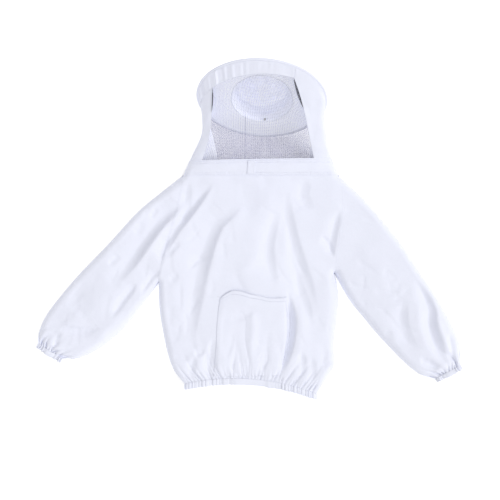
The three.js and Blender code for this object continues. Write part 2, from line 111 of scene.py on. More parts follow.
def curve(points, count=60):
    """A smooth curve through the points, evenly spaced along its length."""
    p = np.array(points, float)
    p = np.vstack([2 * p[0] - p[1], p, 2 * p[-1] - p[-2]])
    rows = []
    for i in range(1, len(p) - 2):
        t = np.linspace(0, 1, 24, endpoint=False)[:, None]
        a, b, c, d = p[i - 1 : i + 3]
        rows.append(
            0.5 * (2 * b + (c - a) * t + (2 * a - 5 * b + 4 * c - d) * t**2 + (3 * b - a - 3 * c + d) * t**3)
        )
    rows.append(p[-2:-1])
    q = np.vstack(rows)
    run = np.concatenate([[0], np.cumsum(np.linalg.norm(np.diff(q, axis=0), axis=1))])
    at = np.linspace(0, run[-1], count)
    return np.stack([np.interp(at, run, q[:, k]) for k in range(q.shape[1])], axis=1)


def smooth(t):
    t = np.clip(t, 0, 1)
    return t * t * (3 - 2 * t)


def mix(a, b, t):
    return a + (b - a) * t


def off_ends(share, width):
    """0 at both ends of a share from 0 to 1, rising to 1 over so much of it."""
    return smooth(share / width) * smooth((1 - share) / width)


def shares(rows, columns):
    """How far up and how far across each point of a grid is, 0 to 1."""
    return np.meshgrid(np.linspace(0, 1, rows), np.linspace(0, 1, columns), indexing="ij")


def to_route(x, y, route):
    """How near each point is to a route, on which side (1 for its left), and how far along it, 0 to 1."""
    best = np.full(x.shape, 1e9)
    side = np.zeros(x.shape)
    along = np.zeros(x.shape)
    lengths = np.linalg.norm(np.diff(route, axis=0), axis=1)
    start = np.concatenate([[0], np.cumsum(lengths)])
    for i, length in enumerate(lengths):
        (ax, ay), (bx, by) = route[i], route[i + 1]
        ux, uy = (bx - ax) / length, (by - ay) / length
        t = np.clip((x - ax) * ux + (y - ay) * uy, 0, length)
        dx, dy = x - ax - t * ux, y - ay - t * uy
        d = np.hypot(dx, dy)
        near = d < best
        best = np.where(near, d, best)
        side = np.where(near, np.sign(ux * dy - uy * dx), side)
        along = np.where(near, (start[i] + t) / start[-1], along)
    return best, side, along


_lattices = {}


def noise(x, y, size, seed):
    """Smooth random heights between -1 and 1 that repeat only far away; size is the distance between bumps."""
    if seed not in _lattices:
        _lattices[seed] = np.random.default_rng(seed).uniform(-1, 1, (64, 64))
    lattice = _lattices[seed]
    u, v = np.asarray(x) / size, np.asarray(y) / size
    i, j = np.floor(u).astype(int), np.floor(v).astype(int)
    s, t = smooth(u - i), smooth(v - j)
    value = lambda a, b: lattice[a % 64, b % 64]
    low = mix(value(i, j), value(i + 1, j), s)
    high = mix(value(i, j + 1), value(i + 1, j + 1), s)
    return mix(low, high, t)


def crumple(x, y, size, seed):
    """Random soft ridges, 0 to 1."""
    return 1 - np.abs(noise(x, y, size, seed) + 0.5 * noise(x, y, size / 2.1, seed + 1)) / 1.5


SEAM_DIP, SEAM_WIDTH = 0.3, 2.0
SEAMS = [curve(RAGLAN[s]) for s in (RIGHT, LEFT)]
OUTLINES = [curve(SIDE[s]) for s in (RIGHT, LEFT)]
OUTLINES += [curve(SLEEVE_TOP[s]) for s in (RIGHT, LEFT)]
OUTLINES += [curve(SLEEVE_UNDER[s]) for s in (RIGHT, LEFT)]
OUTLINES += [curve([NECK_ENDS[s], BAND_ENDS[s]], 8) for s in (RIGHT, LEFT)]

# Folds of the body and the sleeves: route in millimetres, rise, and how wide on the route's left and right.
FOLDS = [
    # the body: two long folds from the neck down beside the pocket, and smaller ones between
    ([(-32, 158), (-57, 111), (-98, 79), (-120, 32), (-137, -25), (-154, -88), (-167, -164), (-179, -246),
     (-181, -319)], -13, 17, 46),
    ([(-16, 171), (-35, 114), (-79, 70), (-101, 25), (-117, -32), (-131, -101), (-142, -177)], 4, 26, 12),
    ([(98, 126), (76, 70), (65, 13), (70, -44), (87, -126)], -9, 13, 30),
    ([(122, 202), (122, 133), (136, 57), (162, -32), (193, -120), (215, -202)], -10, 14, 32),
    ([(104, 19), (131, -38), (156, -101), (185, -183), (199, -253)], -7, 12, 24),
    ([(114, 107), (111, 44), (117, -25), (136, -88), (150, -158)], 4, 12, 16),
    ([(3, 228), (8, 164), (16, 101)], -3, 26, 30),
    ([(193, 221), (175, 190), (180, 158), (205, 130)], -5, 14, 18),
    ([(54, 215), (54, 152), (46, 88), (28, 13), (16, -51)], 3, 24, 30),
    ([(-142, -13), (-174, -101), (-199, -190), (-218, -278)], 3, 36, 40),
    ([(243, -51), (250, -139), (243, -228), (231, -316)], 4, 30, 34),
    ([(-262, -92), (-228, -71)], -3, 8, 9),
    ([(41, 0), (-3, -44), (-47, -88)], 2.5, 20, 24),
    # the body: the fold along the pocket's left edge, and breaks above the gathers
    ([(122, -120), (131, -183), (137, -234), (130, -297), (114, -354), (92, -414)], -18, 10, 5),
    ([(155, -152), (164, -228), (161, -303), (142, -373)], 4, 20, 20),
    ([(-111, -272), (-113, -335), (-117, -417)], -6, 13, 7),
    ([(-181, -325), (-142, -315)], -5, 9, 8),
    ([(-171, -335), (-179, -386), (-176, -423)], -6, 8, 12),
    ([(-135, -319), (-131, -373), (-135, -423)], -5, 7, 9),
    ([(-256, -332), (-186, -344)], -3, 7, 8),
    ([(167, -316), (173, -373), (156, -417)], -6, 8, 11),
    ([(199, -335), (205, -386), (186, -427)], -5, 8, 10),
    ([(222, -363), (247, -360), (274, -360)], -5, 4, 9),
    # the right underarm
    ([(-116, 216), (-147, 172), (-196, 106), (-234, 56), (-267, -9), (-288, -63)], -12, 9, 22),
    ([(-111, 211), (-139, 163), (-183, 104), (-219, 56)], 3.5, 14, 8),
    ([(-191, 221), (-194, 171), (-199, 106), (-224, 70)], -6, 10, 18),
    ([(-217, 27), (-246, -5), (-271, -30)], -5, 7, 9),
    # the left underarm
    ([(288, 130), (273, 70), (264, 19), (267, -25)], -8, 9, 15),
    ([(226, 52), (252, 20), (269, -25)], -7, 6, 10),
    ([(278, 158), (316, 138), (373, 120), (427, 85)], -3.5, 16, 10),
    # the right sleeve
    ([(-189, 183), (-218, 136), (-277, 87), (-317, 35), (-361, -28), (-403, -83), (-445, -140)], -16, 14, 44),
    ([(-196, 158), (-253, 95), (-298, 38), (-341, -25), (-379, -76)], 5, 14, 10),
    ([(-253, 44), (-273, 3), (-284, -39)], -8, 8, 12),
    ([(-281, -60), (-313, -104), (-346, -149)], -8, 7, 12),
    ([(-351, -98), (-390, -153), (-439, -220)], -8, 7, 14),
    ([(-409, -20), (-450, -53)], -4, 7, 9),
    ([(-332, 87), (-361, 41)], -3, 9, 12),
    ([(-316, 136), (-340, 106)], -3.5, 5, 6),
    ([(-291, 129), (-318, 101)], -3.5, 5, 6),
    ([(-505, -92), (-523, -152), (-510, -205)], -4, 26, 30),
    ([(-398, -190), (-455, -253), (-505, -291)], 3, 18, 18),
    ([(-486, -248), (-524, -267), (-581, -258), (-610, -272)], -6, 13, 8),
    ([(-600, -256), (-620, -316)], -6, 7, 8),
    ([(-537, -190), (-594, -253)], 4, 30, 30),
    # the left sleeve
    ([(521, -82), (562, -139), (580, -190), (580, -237), (595, -284), (616, -338), (641, -382)], -14, 12, 20),
    ([(594, -183), (600, -240), (619, -291), (645, -348)], 5, 12, 9),
    ([(494, -152), (489, -215), (502, -272), (540, -319)], -8, 13, 22),
    ([(450, -246), (442, -284), (477, -322)], -5, 12, 15),
    ([(537, -152), (537, -228), (562, -303), (600, -360)], 4, 16, 18),
    ([(638, -253), (651, -316), (657, -373)], -6, 9, 10),
    ([(537, -338), (575, -357), (613, -373)], -6, 8, 9),
    ([(512, -367), (562, -398), (600, -411)], -5, 9, 9),
    ([(348, 32), (411, -63), (449, -152)], 3, 40, 40),
]


BODY_CREASES, SLEEVE_CREASES = 40, 44


def small_creases():
    """Short faint creases of worn cotton, mostly along the hang of the body and of each sleeve."""
    rng = np.random.default_rng(77)
    made = []
    for i in range(BODY_CREASES + SLEEVE_CREASES):
        if i < BODY_CREASES:
            at, heading = (rng.uniform(-255, 255), rng.uniform(-380, 215)), -90 + rng.normal(0, 34)
        else:
            side = LEFT if i % 2 else RIGHT
            share = rng.uniform(0.12, 0.95)
            top, under = curve(SLEEVE_TOP[side], 60), curve(SLEEVE_UNDER[side], 60)
            row = int(share * 58)
            at = mix(top[row], under[row], rng.uniform(0.12, 0.9))
            ahead = top[row + 1] - top[row]
            heading = math.degrees(math.atan2(ahead[1], ahead[0])) + rng.normal(0, 36)
        length, bend = rng.uniform(40, 120), rng.uniform(-0.35, 0.35)
        route = [(at[0], at[1])]
        for k in range(3):
            turn = math.radians(heading) + bend * k
            x, y = route[-1]
            route.append((x + length / 3 * math.cos(turn), y + length / 3 * math.sin(turn)))
        made.append((route, -rng.uniform(0.9, 2.3), rng.uniform(3, 6), rng.uniform(10, 26)))
    return made


FOLDS += small_creases()
FOLD_ROUTES = [curve(fold[0], 7 if len(fold[0]) < 5 else 16) for fold in FOLDS]
FOLD_DEPTH = 1.05  # how deep the folds are made, as a share of the depths listed
CLEAR_OF_EDGE = 34.0  # the folds fade out over this much cloth next to the outline


def fold_height(x, y, route, rise, left, right):
    """A fold: a valley whose left wall runs up to a crisp crest or, where it rises, a soft ridge."""
    near, side, along = to_route(x, y, route)
    taper = smooth(along / 0.3) * smooth((1 - along) / 0.35)
    reach = 0.45 + 0.55 * taper
    if rise > 0:
        return rise * taper * np.exp(-((near / (np.where(side > 0, left, right) * reach)) ** 2))
    across = np.where(side > 0, near, -near)
    down = left * reach - across
    down = (down + np.sqrt(down**2 + 9)) / 2
    wall = 1 - (1 - np.clip(down / (2.2 * left * reach), 0, 1)) ** 2
    fade = np.exp(-((np.clip(-across - left * reach, 0, None) / (right * reach)) ** 1.4))
    return FOLD_DEPTH * rise * taper * wall * fade


def lay(x, y):
    """How high the top layer of cloth lies over the point x, y, in millimetres, with its folds."""
    edge = np.full(x.shape, 1e9)
    for outline in OUTLINES:
        edge = np.minimum(edge, to_route(x, y, outline)[0])
    roll = np.sqrt(1 - (1 - np.clip(edge / EDGE_RADIUS, 0, 1)) ** 2)
    z = EDGE_HEIGHT * roll + SWELL * (1 - np.exp(-edge / SWELL_REACH))
    inside = smooth(edge / CLEAR_OF_EDGE)
    for (_, *fold), route in zip(FOLDS, FOLD_ROUTES):
        z += inside * fold_height(x, y, route, *fold)
    unironed = 2.0 * noise(x, y, 90, 5) + 0.6 * noise(x * 0.6 + y * 0.3, y * 0.4 - x * 0.2, 26, 6)
    z += inside * unironed
    for seam in SEAMS:
        z -= SEAM_DIP * np.exp(-((to_route(x, y, seam)[0] / SEAM_WIDTH) ** 2))
    return z


# ---- Meshes


def mesh_of(name, points, faces, uvs=None):
    """A smooth mesh object from points in metres, with one UV for each corner of each face."""
    mesh = bpy.data.meshes.new(name)
    mesh.from_pydata([tuple(p) for p in points], [], [tuple(int(i) for i in f) for f in faces])
    if uvs is not None:
        layer = mesh.uv_layers.new(name="cloth")
        layer.data.foreach_set("uv", np.array(uvs, np.float32).reshape(-1))
    mesh.validate()
    mesh.update()
    o = bpy.data.objects.new(name, mesh)
    bpy.context.collection.objects.link(o)
    mesh.shade_smooth()
    return o


def grid(name, p, around=False, flip=False):
    """A cloth surface through the points p[row, column] in millimetres, with UVs in metres along the cloth."""
    rows, columns = p.shape[:2]
    points = p.reshape(-1, 3) * MM
    step_u = np.linalg.norm(np.diff(p, axis=1), axis=2).mean(0) * MM
    step_v = np.linalg.norm(np.diff(p, axis=0), axis=2).mean(1) * MM
    u = np.concatenate([[0], np.cumsum(step_u)])
    if around:
        u = np.append(u, u[-1] + np.linalg.norm(p[:, 0] - p[:, -1], axis=1).mean() * MM)
    v = np.concatenate([[0], np.cumsum(step_v)])
    faces, uvs = [], []
    for r in range(rows - 1):
        for c in range(columns if around else columns - 1):
            corners = [(r, c), (r, c + 1), (r + 1, c + 1), (r + 1, c)]
            if flip:
                corners.reverse()
            faces.append([i * columns + j % columns for i, j in corners])
            uvs += [(u[j], v[i]) for i, j in corners]
    return mesh_of(name, points, faces, uvs)


def join_edges(o):
    """Merges the points that lie on each other, where a section or a pole closes."""
    mesh = bmesh.new()
    mesh.from_mesh(o.data)
    bmesh.ops.remove_doubles(mesh, verts=mesh.verts, dist=0.001 * MM)
    mesh.to_mesh(o.data)
    mesh.free()
    return o


def thicken(o, thickness=None, offset=-1.0):
    """Gives a surface its thickness in millimetres, or one layer of the smock's cloth."""
    solidify = o.modifiers.new("cloth", "SOLIDIFY")
    solidify.thickness = thickness * MM if thickness else sizes().cloth
    solidify.offset = offset
    solidify.use_even_offset = False
    return o


STITCH_SIDES = 6
STITCH_RINGS = ((-0.5, 0.35), (-0.2, 1.0), (0.2, 1.0), (0.5, 0.35))  # place along a stitch and girth there


def unit(vectors):
    """The vectors of the last axis at length 1."""
    return vectors / np.maximum(np.linalg.norm(vectors, axis=-1, keepdims=True), 1e-9)


def stitches(name, route, every=3.6, length=2.5, width=0.55):
    """A row of stitches along a route of points in millimetres that lies on the cloth."""
    run = np.concatenate([[0], np.cumsum(np.linalg.norm(np.diff(route, axis=0), axis=1))])
    at = np.arange(every / 2, run[-1], every)

    def on_route(where):
        return np.stack([np.interp(where, run, route[:, k]) for k in range(3)], axis=1)

    along = unit(on_route(at + 0.5) - on_route(at - 0.5))
    across = unit(np.stack([-along[:, 1], along[:, 0], 0 * at], axis=1))
    points, faces = [], []
    for m, a, c, n in zip(on_route(at), along, across, np.cross(along, across)):
        first = len(points)
        for share, girth in STITCH_RINGS:
            for k in range(STITCH_SIDES):
                turn = 2 * math.pi * k / STITCH_SIDES
                offset = c * math.cos(turn) * width * girth / 2 + n * (math.sin(turn) * width * girth / 2)
                points.append((m + a * length * share + offset) * MM)
        last = first + STITCH_SIDES * (len(STITCH_RINGS) - 1)
        for ring in range(first, last, STITCH_SIDES):
            for k in range(STITCH_SIDES):
                i, j = ring + k, ring + (k + 1) % STITCH_SIDES
                faces.append((i, j, j + STITCH_SIDES, i + STITCH_SIDES))
        faces.append(tuple(first + k for k in reversed(range(STITCH_SIDES))))
        faces.append(tuple(last + k for k in range(STITCH_SIDES)))
    return mesh_of(name, points, faces)


def painted_glow_inside(o, inner_material):
    """The layer's inner face gets a finish with a painted glow, for the light that comes through the cloth."""
    o.data.materials.append(inner_material)
    o.modifiers["cloth"].material_offset = 1


def placed(name, turned, at, scaled=(1, 1, 1)):
    """Puts the primitive just added where it goes, names its UV map and smooths it."""
    o = bpy.context.active_object
    o.name = name
    o.scale, o.rotation_euler, o.location = scaled, turned, at
    bpy.ops.object.transform_apply(location=True, rotation=True, scale=True)
    layer = o.data.uv_layers[0] if o.data.uv_layers else o.data.uv_layers.new()
    layer.name = "cloth"
    o.data.shade_smooth()
    return o


def finish_piece(o, material, body=None, nodes=()):
    o.data.materials.clear()
    o.data.materials.append(material)
    if nodes:
        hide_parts(*nodes)
    if body:
        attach(o, body)
    return o


def sew(name, route, nodes=(), raised=0.25, **stitch):
    """Sews a row of stitches on the body, raised by so many millimetres."""
    row = route.copy()
    row[:, 2] += raised
    return finish_piece(stitches(name, row, **stitch), thread_material(), "jacket", nodes)


# ---- Shader maths


class Sum:
    """A shader value that can be used in Python expressions, each of which adds its Math node."""

    def __init__(self, tree, socket):
        self.tree, self.socket = tree, socket

    def _maths(self, operation, *values):
        node = self.tree.nodes.new("ShaderNodeMath")
        node.operation = operation
        for i, value in enumerate(values):
            if isinstance(value, Sum):
                self.tree.links.new(value.socket, node.inputs[i])
            else:
                node.inputs[i].default_value = value
        return Sum(self.tree, node.outputs[0])

    def __add__(self, other):
        return self._maths("ADD", self, other)

    __radd__ = __add__

    def __mul__(self, other):
        return self._maths("MULTIPLY", self, other)

    __rmul__ = __mul__

    def __lt__(self, other):
        return self._maths("LESS_THAN", self, other)

    def sine(self):
        return self._maths("SINE", self)

    def fraction(self):
        return self._maths("FRACT", self)

    def largest(self, other):
        return self._maths("MAXIMUM", self, other)


class Finish:
    """A material and the few ways its nodes are made."""

    def __init__(self, name, **constants):
        self.material = bpy.data.materials.new(name)
        self.material.use_nodes = True
        self.tree = self.material.node_tree
        self.shader = self.tree.nodes["Principled BSDF"]
        for socket, value in constants.items():
            self.shader.inputs[socket.replace("_", " ")].default_value = value

    def node(self, kind, settings=None, **inputs):
        node = self.tree.nodes.new("ShaderNode" + kind)
        for key, value in (settings or {}).items():
            setattr(node, key, value)
        for key, value in inputs.items():
            socket = node.inputs[key.replace("_", " ")]
            if isinstance(value, Sum):
                self.tree.links.new(value.socket, socket)
            elif isinstance(value, bpy.types.NodeSocket):
                self.tree.links.new(value, socket)
            else:
                socket.default_value = value
        return node

    def value(self, node, output=0):
        return Sum(self.tree, node.outputs[output])

    def cloth_uv(self):
        uv = self.node("UVMap", {"uv_map": "cloth"})
        parts = self.node("SeparateXYZ", Vector=uv.outputs[0])
        return self.value(parts, 0), self.value(parts, 1)

    def position(self):
        return self.node("TexCoord").outputs["Object"]

    def wave(self, along, pitch):
        """A sine from -1 to 1 with that pitch."""
        return (along * (2 * math.pi / pitch)).sine()

    def mottle(self, size, detail=3.0):
        return self.value(self.node("TexNoise", Vector=self.position(), Scale=1 / size, Detail=detail), 0)

    def colour(self, low, high, factor):
        blend = self.node("Mix", {"data_type": "RGBA"}, Factor=factor)
        blend.inputs[6].default_value = (*low, 1)
        blend.inputs[7].default_value = (*high, 1)
        self.tree.links.new(blend.outputs[2], self.shader.inputs["Base Color"])

    def bump(self, height, strength):
        """Raises the surface by a height in metres."""
        bump = self.node("Bump", Height=height, Distance=1.0, Strength=strength)
        self.tree.links.new(bump.outputs[0], self.shader.inputs["Normal"])

    def drive(self, socket, value):
        self.tree.links.new(value.socket, self.shader.inputs[socket])


def tint(colour, factor):
    return tuple(min(1.0, c * factor) for c in colour)


# How coarse and how high each finish's pattern is, in metres
WEAVE_PITCH, WEAVE_HEIGHT = 0.55 * MM, 0.00012
SLUB_SIZE, SLUB_HEIGHT = 0.006, 0.0003
CREASE_SIZE, CREASE_HEIGHT = 0.045, 0.0022
RIB_PITCH, BRAID_PITCH, RIB_HEIGHT = 0.0016, 0.0009, 0.0002
TWIST_PITCH, TWIST_HEIGHT = 0.0011, 0.0001


def woven_cloth(name, colour, glow=0.0):
    """Thin plain-woven cotton and polyester: a fine weave, faint slubs and small unironed creases.

    The glow is painted light: an emission that stands for the light that comes through one thin layer from its
    other side.
    """
    f = Finish(name, Roughness=0.92, Specular_IOR_Level=0.18, Sheen_Weight=0.1, Sheen_Roughness=0.5,
               Emission_Color=(0.96, 0.96, 1.0, 1), Emission_Strength=glow)
    u, v = f.cloth_uv()
    weave = f.wave(u, WEAVE_PITCH) * f.wave(v, WEAVE_PITCH)
    slub = f.mottle(SLUB_SIZE)
    creases = f.mottle(CREASE_SIZE, 5.0)
    f.bump(weave * WEAVE_HEIGHT + slub * SLUB_HEIGHT + creases * CREASE_HEIGHT, 0.55)
    f.colour(tint(colour, 0.965), tint(colour, 1.02), f.mottle(0.09) * 0.6 + slub * 0.4)
    return f.material


def plain_elastic(name, colour):
    """Flat braided elastic: ribs across the strip."""
    f = Finish(name, Roughness=0.7, Specular_IOR_Level=0.3)
    u, v = f.cloth_uv()
    rib = f.wave(u, RIB_PITCH) * 0.5 + f.wave(v, BRAID_PITCH) * 0.3
    f.bump(rib * RIB_HEIGHT, 0.6)
    # Painted shade: the colour darkens where the ribs are low, in their grooves.
    f.colour(tint(colour, 0.9), colour, rib * 0.5 + 0.5)
    return f.material


def twisted_thread(name, colour):
    """Polyester sewing thread with its twist."""
    f = Finish(name, Roughness=0.6, Specular_IOR_Level=0.35)
    parts = f.node("SeparateXYZ", Vector=f.position())
    twist = f.wave(f.value(parts, 0) + f.value(parts, 1), TWIST_PITCH)
    f.bump(twist * TWIST_HEIGHT, 0.5)
    # Painted shade: the colour darkens in the grooves of the twist.
    f.colour(tint(colour, 0.9), colour, twist * 0.5 + 0.5)
    return f.material


def open_net(name, colour, pitch, thread):
    """Fine net: square holes between thin threads, with real gaps to see through."""
    f = Finish(name, Roughness=0.65, Specular_IOR_Level=0.25)
    u, v = f.cloth_uv()
    wall = thread / pitch
    across = (u * (1 / pitch)).fraction() < wall
    along = (v * (1 / pitch)).fraction() < wall
    f.drive("Alpha", across.largest(along))
    f.colour(tint(colour, 0.8), tint(colour, 1.25), f.mottle(0.03))
    return f.material


def floor_finish(name, colour, glow):
    f = Finish(name, Roughness=0.85, Specular_IOR_Level=0.1,
               Emission_Color=(1, 1, 1, 1), Emission_Strength=glow)
    f.colour(tint(colour, 0.995), colour, f.mottle(0.8))
    return f.material


# ---- Sizes and colours that a user may change


class SmockLook(bpy.types.PropertyGroup):
    cloth_colour: bpy.props.FloatVectorProperty(
        name="Cloth", description="Colour of the white cloth", subtype="COLOR", default=(0.82, 0.838, 0.945),
        min=0, max=1,
    )
    net_colour: bpy.props.FloatVectorProperty(
        name="Net", description="Colour of the veil's net", subtype="COLOR", default=(0.14, 0.14, 0.20),
        min=0, max=1,
    )
    thread_colour: bpy.props.FloatVectorProperty(
        name="Thread", description="Colour of the sewing thread", subtype="COLOR", default=(0.82, 0.84, 0.92),
        min=0, max=1,
    )
    elastic_colour: bpy.props.FloatVectorProperty(
        name="Elastic", description="Colour of the elastic", subtype="COLOR", default=(0.82, 0.82, 0.80),
        min=0, max=1,
    )


class SmockSizes(bpy.types.PropertyGroup):
    cloth: bpy.props.FloatProperty(
        name="Cloth", description="Thickness of one layer of cloth", unit="LENGTH",
        default=0.9 * MM, min=0.3 * MM, max=3 * MM,
    )
    net_pitch: bpy.props.FloatProperty(
        name="Net pitch", description="Distance between the net's threads", unit="LENGTH",
        default=5.4 * MM, min=1 * MM, max=6 * MM,
    )
    net_thread: bpy.props.FloatProperty(
        name="Net thread", description="Width of a net thread", unit="LENGTH",
        default=0.32 * MM, min=0.05 * MM, max=1 * MM,
    )


def look():
    return bpy.context.scene.smock_look


def sizes():
    return bpy.context.scene.smock_sizes


# Painted light: the colour of net threads in the light, mixed into the bunched net.
LIT_THREADS = (0.3, 0.3, 0.62)


def once(name, make, *details, **settings):
    """The finish of that name, made the first time it is asked for."""
    return bpy.data.materials.get(name) or make(name, *details, **settings)


def cloth_material():
    return once("white_polycotton", woven_cloth, look().cloth_colour)


# Cloth with a painted glow, which lightens the insides of the hat and the veil.
def painted_glow_material(name, glow):
    return once(name, woven_cloth, look().cloth_colour, glow=glow)


def elastic_material():
    return once("braided_elastic", plain_elastic, look().elastic_colour)


def knot_material():
    return once("grey_knotted_cord", plain_elastic, tint(look().elastic_colour, 0.5))


def thread_material():
    return once("sewing_thread", twisted_thread, look().thread_colour)


def net_material():
    return once("fine_net", open_net, look().net_colour, sizes().net_pitch, sizes().net_thread)


def folded_net_material():
    """Several layers of the net, which let little light through, with painted shade: their threads are five
    times darker than the net's.
    """
    pitch = sizes().net_pitch
    return once("folded_net", open_net, tint(look().net_colour, 0.2), pitch, pitch * 0.66)


def back_net_material():
    """The net at the back, bunched so that its threads lie closer, its colour mixed towards painted light on
    threads that catch the light.
    """
    colour = mix(np.array(look().net_colour), np.array(LIT_THREADS), 0.45)
    pitch, thread = sizes().net_pitch * 0.62, sizes().net_thread * 2.3
    return once("bunched_net", open_net, tuple(colour), pitch, thread)


# ---- Body


def hem_y(share):
    """The hem's line, share 0 at the wearer's right and 1 at the left."""
    right, left = SIDE[RIGHT][0][1], SIDE[LEFT][0][1]
    return mix(right, left, share) + HEM_ARC * 4 * share * (1 - share)


def body_xy(columns, rows, lap=0.0):
    """Points across and up the body, between its sides, which lap over the sleeves by so much."""
    sides = {}
    for s in (RIGHT, LEFT):
        low, high = curve(SIDE[s], rows // 2 + 1), curve(RAGLAN[s], rows - rows // 2)
        sides[s] = np.vstack([low[:-1], high])
    share = 0.5 - 0.5 * np.cos(np.pi * np.linspace(0, 1, columns))
    share = mix(share, np.linspace(0, 1, columns), 0.45)[None, :]
    v = np.linspace(0, 1, len(sides[RIGHT]))[:, None]
    x = mix(sides[RIGHT][:, :1], sides[LEFT][:, :1], share)
    y = mix(sides[RIGHT][:, 1:], sides[LEFT][:, 1:], share)
    x = x + lap * (2 * share - 1) ** 9 * smooth((v - 0.5) / 0.04)
    y = y + HEM_ARC * 4 * share * (1 - share) * (1 - v) ** 3
    return x, y, share + 0 * x, v + 0 * x


WIDEST_RUN = 460  # the gathers go on past the longest edge that has them
PLEAT_LENGTHS, LENGTH_ODDS = [1.6, 2.8, 5.0, 8.5], [0.25, 0.25, 0.28, 0.22]  # in pitches


def pleats(run, reach, pitch, seed):
    """Gathers as crisp tucks: run goes across them and reach away from the stitching, both in millimetres."""
    rng = np.random.default_rng(seed)
    total = np.zeros(np.broadcast(run, reach).shape)
    at = rng.uniform(0, pitch)
    while at < WIDEST_RUN:
        depth = rng.uniform(0.5, 1.6)
        length = pitch * rng.choice(PLEAT_LENGTHS, p=LENGTH_ODDS)
        slant = rng.uniform(-0.22, 0.22)
        width = 0.2 * pitch + 0.05 * reach
        away = np.abs(run - at - slant * reach)
        total = total - depth * np.exp(-((away / width) ** 1.4)) * np.exp(-((reach / length) ** 1.5))
        at += pitch * rng.uniform(0.55, 1.45)
    return total + 0.5 * noise(run, reach * 0.1, pitch * 2.1, seed) * np.exp(-reach / (3 * pitch))


HEM_HALF, CUFF_HALF = 211.0, 46.0  # half the width that each is gathered to
HEM_PLEAT, CUFF_PLEAT = 3.3, 5.4  # how deep the tucks are
HEM_PITCH, CUFF_PITCH = 10, 8  # how far apart they are
HEM_SEED, CUFF_SEED = 20, 70
HEM_MIDDLE = top_of("hem_casing")[2] / MM / 2
CUFF_MIDDLE = {s: top_of(WORD[s] + "_cuff_casing")[2] / MM / 2 for s in WORD}
CASING_MARGIN = 3  # how much flatter a gathered casing is than its room
SQUARE_ACROSS, SQUARE_UP = 0.45, 0.6  # how square its section is, 1 for an oval


def drawn_in(share, middle):
    """The height of cloth where it meets its casing, at a share of the way across."""
    c = np.clip(np.abs(share * 2 - 1), 0, 1) ** (1 / SQUARE_ACROSS)
    return middle + (middle - CASING_MARGIN) * (1 - c * c) ** (SQUARE_UP / 2) - 0.8


def front_height(x, y, share):
    """The front panel's height, drawn down at the hem to the casing that gathers it."""
    above_hem = y - hem_y(share)
    gathers = HEM_PLEAT * pleats(share * 2 * HEM_HALF, above_hem, HEM_PITCH, HEM_SEED)
    gathers = gathers * off_ends(share, 0.04) * mix(1.0, 1.9, smooth(above_hem / 14))
    z = mix(drawn_in(share, HEM_MIDDLE), lay(x, y), smooth(above_hem / 60)) + gathers
    under_neck = NECK_Y - y
    drape = 1.8 * noise(share * 496, under_neck * 0.05, 26, 31) * np.exp(-under_neck / 60)
    return z + drape * smooth(under_neck / 10) * off_ends(share, 0.12)


FRONT_COLUMNS, FRONT_ROWS = 190, 210
SEAM_START = 108  # the first row over the underarm


def front_points():
    x, y, share, v = body_xy(FRONT_COLUMNS, FRONT_ROWS, lap=3.0)
    fell = 0.4 * np.abs(2 * share - 1) ** 9 * smooth((v - 0.5) / 0.04)
    return np.stack([x, y, front_height(x, y, share) + fell], axis=2)


def back_points():
    x, y, _, _ = body_xy(90, 100)
    return np.stack([x, y, UNDERSIDE + 0.5 * crumple(x, y, 60, 40)], axis=2)


class SMOCK_OT_body(bpy.types.Operator):
    """Lay the front and back panels with their folds"""

    bl_idname = "smock.body"
    bl_label = "Body"

    def execute(self, context):
        front_xyz = front_points()
        front = thicken(grid("body_front", front_xyz))
        finish_piece(front, cloth_material(), "jacket", ["front_panel"])
        for name, column in (("right", 3), ("left", -4)):
            sew("raglan_%s_stitches" % name, front_xyz[SEAM_START:, column])
        back = thicken(grid("body_back", back_points()))
        finish_piece(back, cloth_material(), "jacket", ["back_panel"])
        return {"FINISHED"}


# ---- Hem and cuffs


# Points of a section, as shares of the way in and of the way down the casing
CASING_SECTION = [(0.0, -0.08), (0.0, 0.12), (0.0, 0.3), (0.0, 0.5), (0.0, 0.7), (0.02, 0.86), (0.25, 0.98),
                  (0.5, 1.0), (0.75, 0.98), (1.0, 0.86), (1.0, 0.5), (1.0, 0.0), (0.5, -0.08), (0.0, -0.08)]
ELASTIC_SECTION = [(0.5, 0.2), (0.5, 0.35), (0.5, 0.5), (0.5, 0.65), (0.5, 0.8)]


def gathered_band(name, section, place, half_width, half_height, depth, layer, pleat, pitch, seed, flip=False):
    """A flat gathered ring of so many millimetres depth, its section's layers so far apart."""
    count = int(half_width * 2.6)
    turn = np.linspace(0, 2 * np.pi, count, endpoint=False) + np.pi / count
    c, s = np.cos(turn), np.sin(turn)
    x = half_width * np.sign(c) * np.abs(c) ** SQUARE_ACROSS
    z = half_height * np.sign(s) * np.abs(s) ** SQUARE_UP
    run = x + half_width
    wave = pleat * pleats(run, 0 * run, pitch, seed) * smooth(np.abs(s) / 0.3)
    wave = wave + 0.5 * noise(run, 0 * run, 4.2, seed)
    outwards = np.stack([c * half_height / half_width, s], axis=1)
    outwards /= np.linalg.norm(outwards, axis=1)[:, None]
    rings = []
    for across, down in section:
        bulge = (0.5 - across) * 2.2 * math.sin(math.pi * min(1.0, max(0.0, down) * 1.1))
        lift = -across * layer + bulge + wave * (1 + 0.3 * down)
        drop = down * depth + 0.5 * wave * max(0.0, down)
        rings.append(place(x + outwards[:, 0] * lift, z + outwards[:, 1] * lift, drop))
    return join_edges(grid(name, np.stack(rings, axis=0), around=True, flip=flip))


def hem_place(x, z, drop):
    share = np.clip((x / HEM_HALF + 1) / 2, 0, 1)
    return np.stack([x + 2, hem_y(share) - drop, z + HEM_MIDDLE], axis=1)


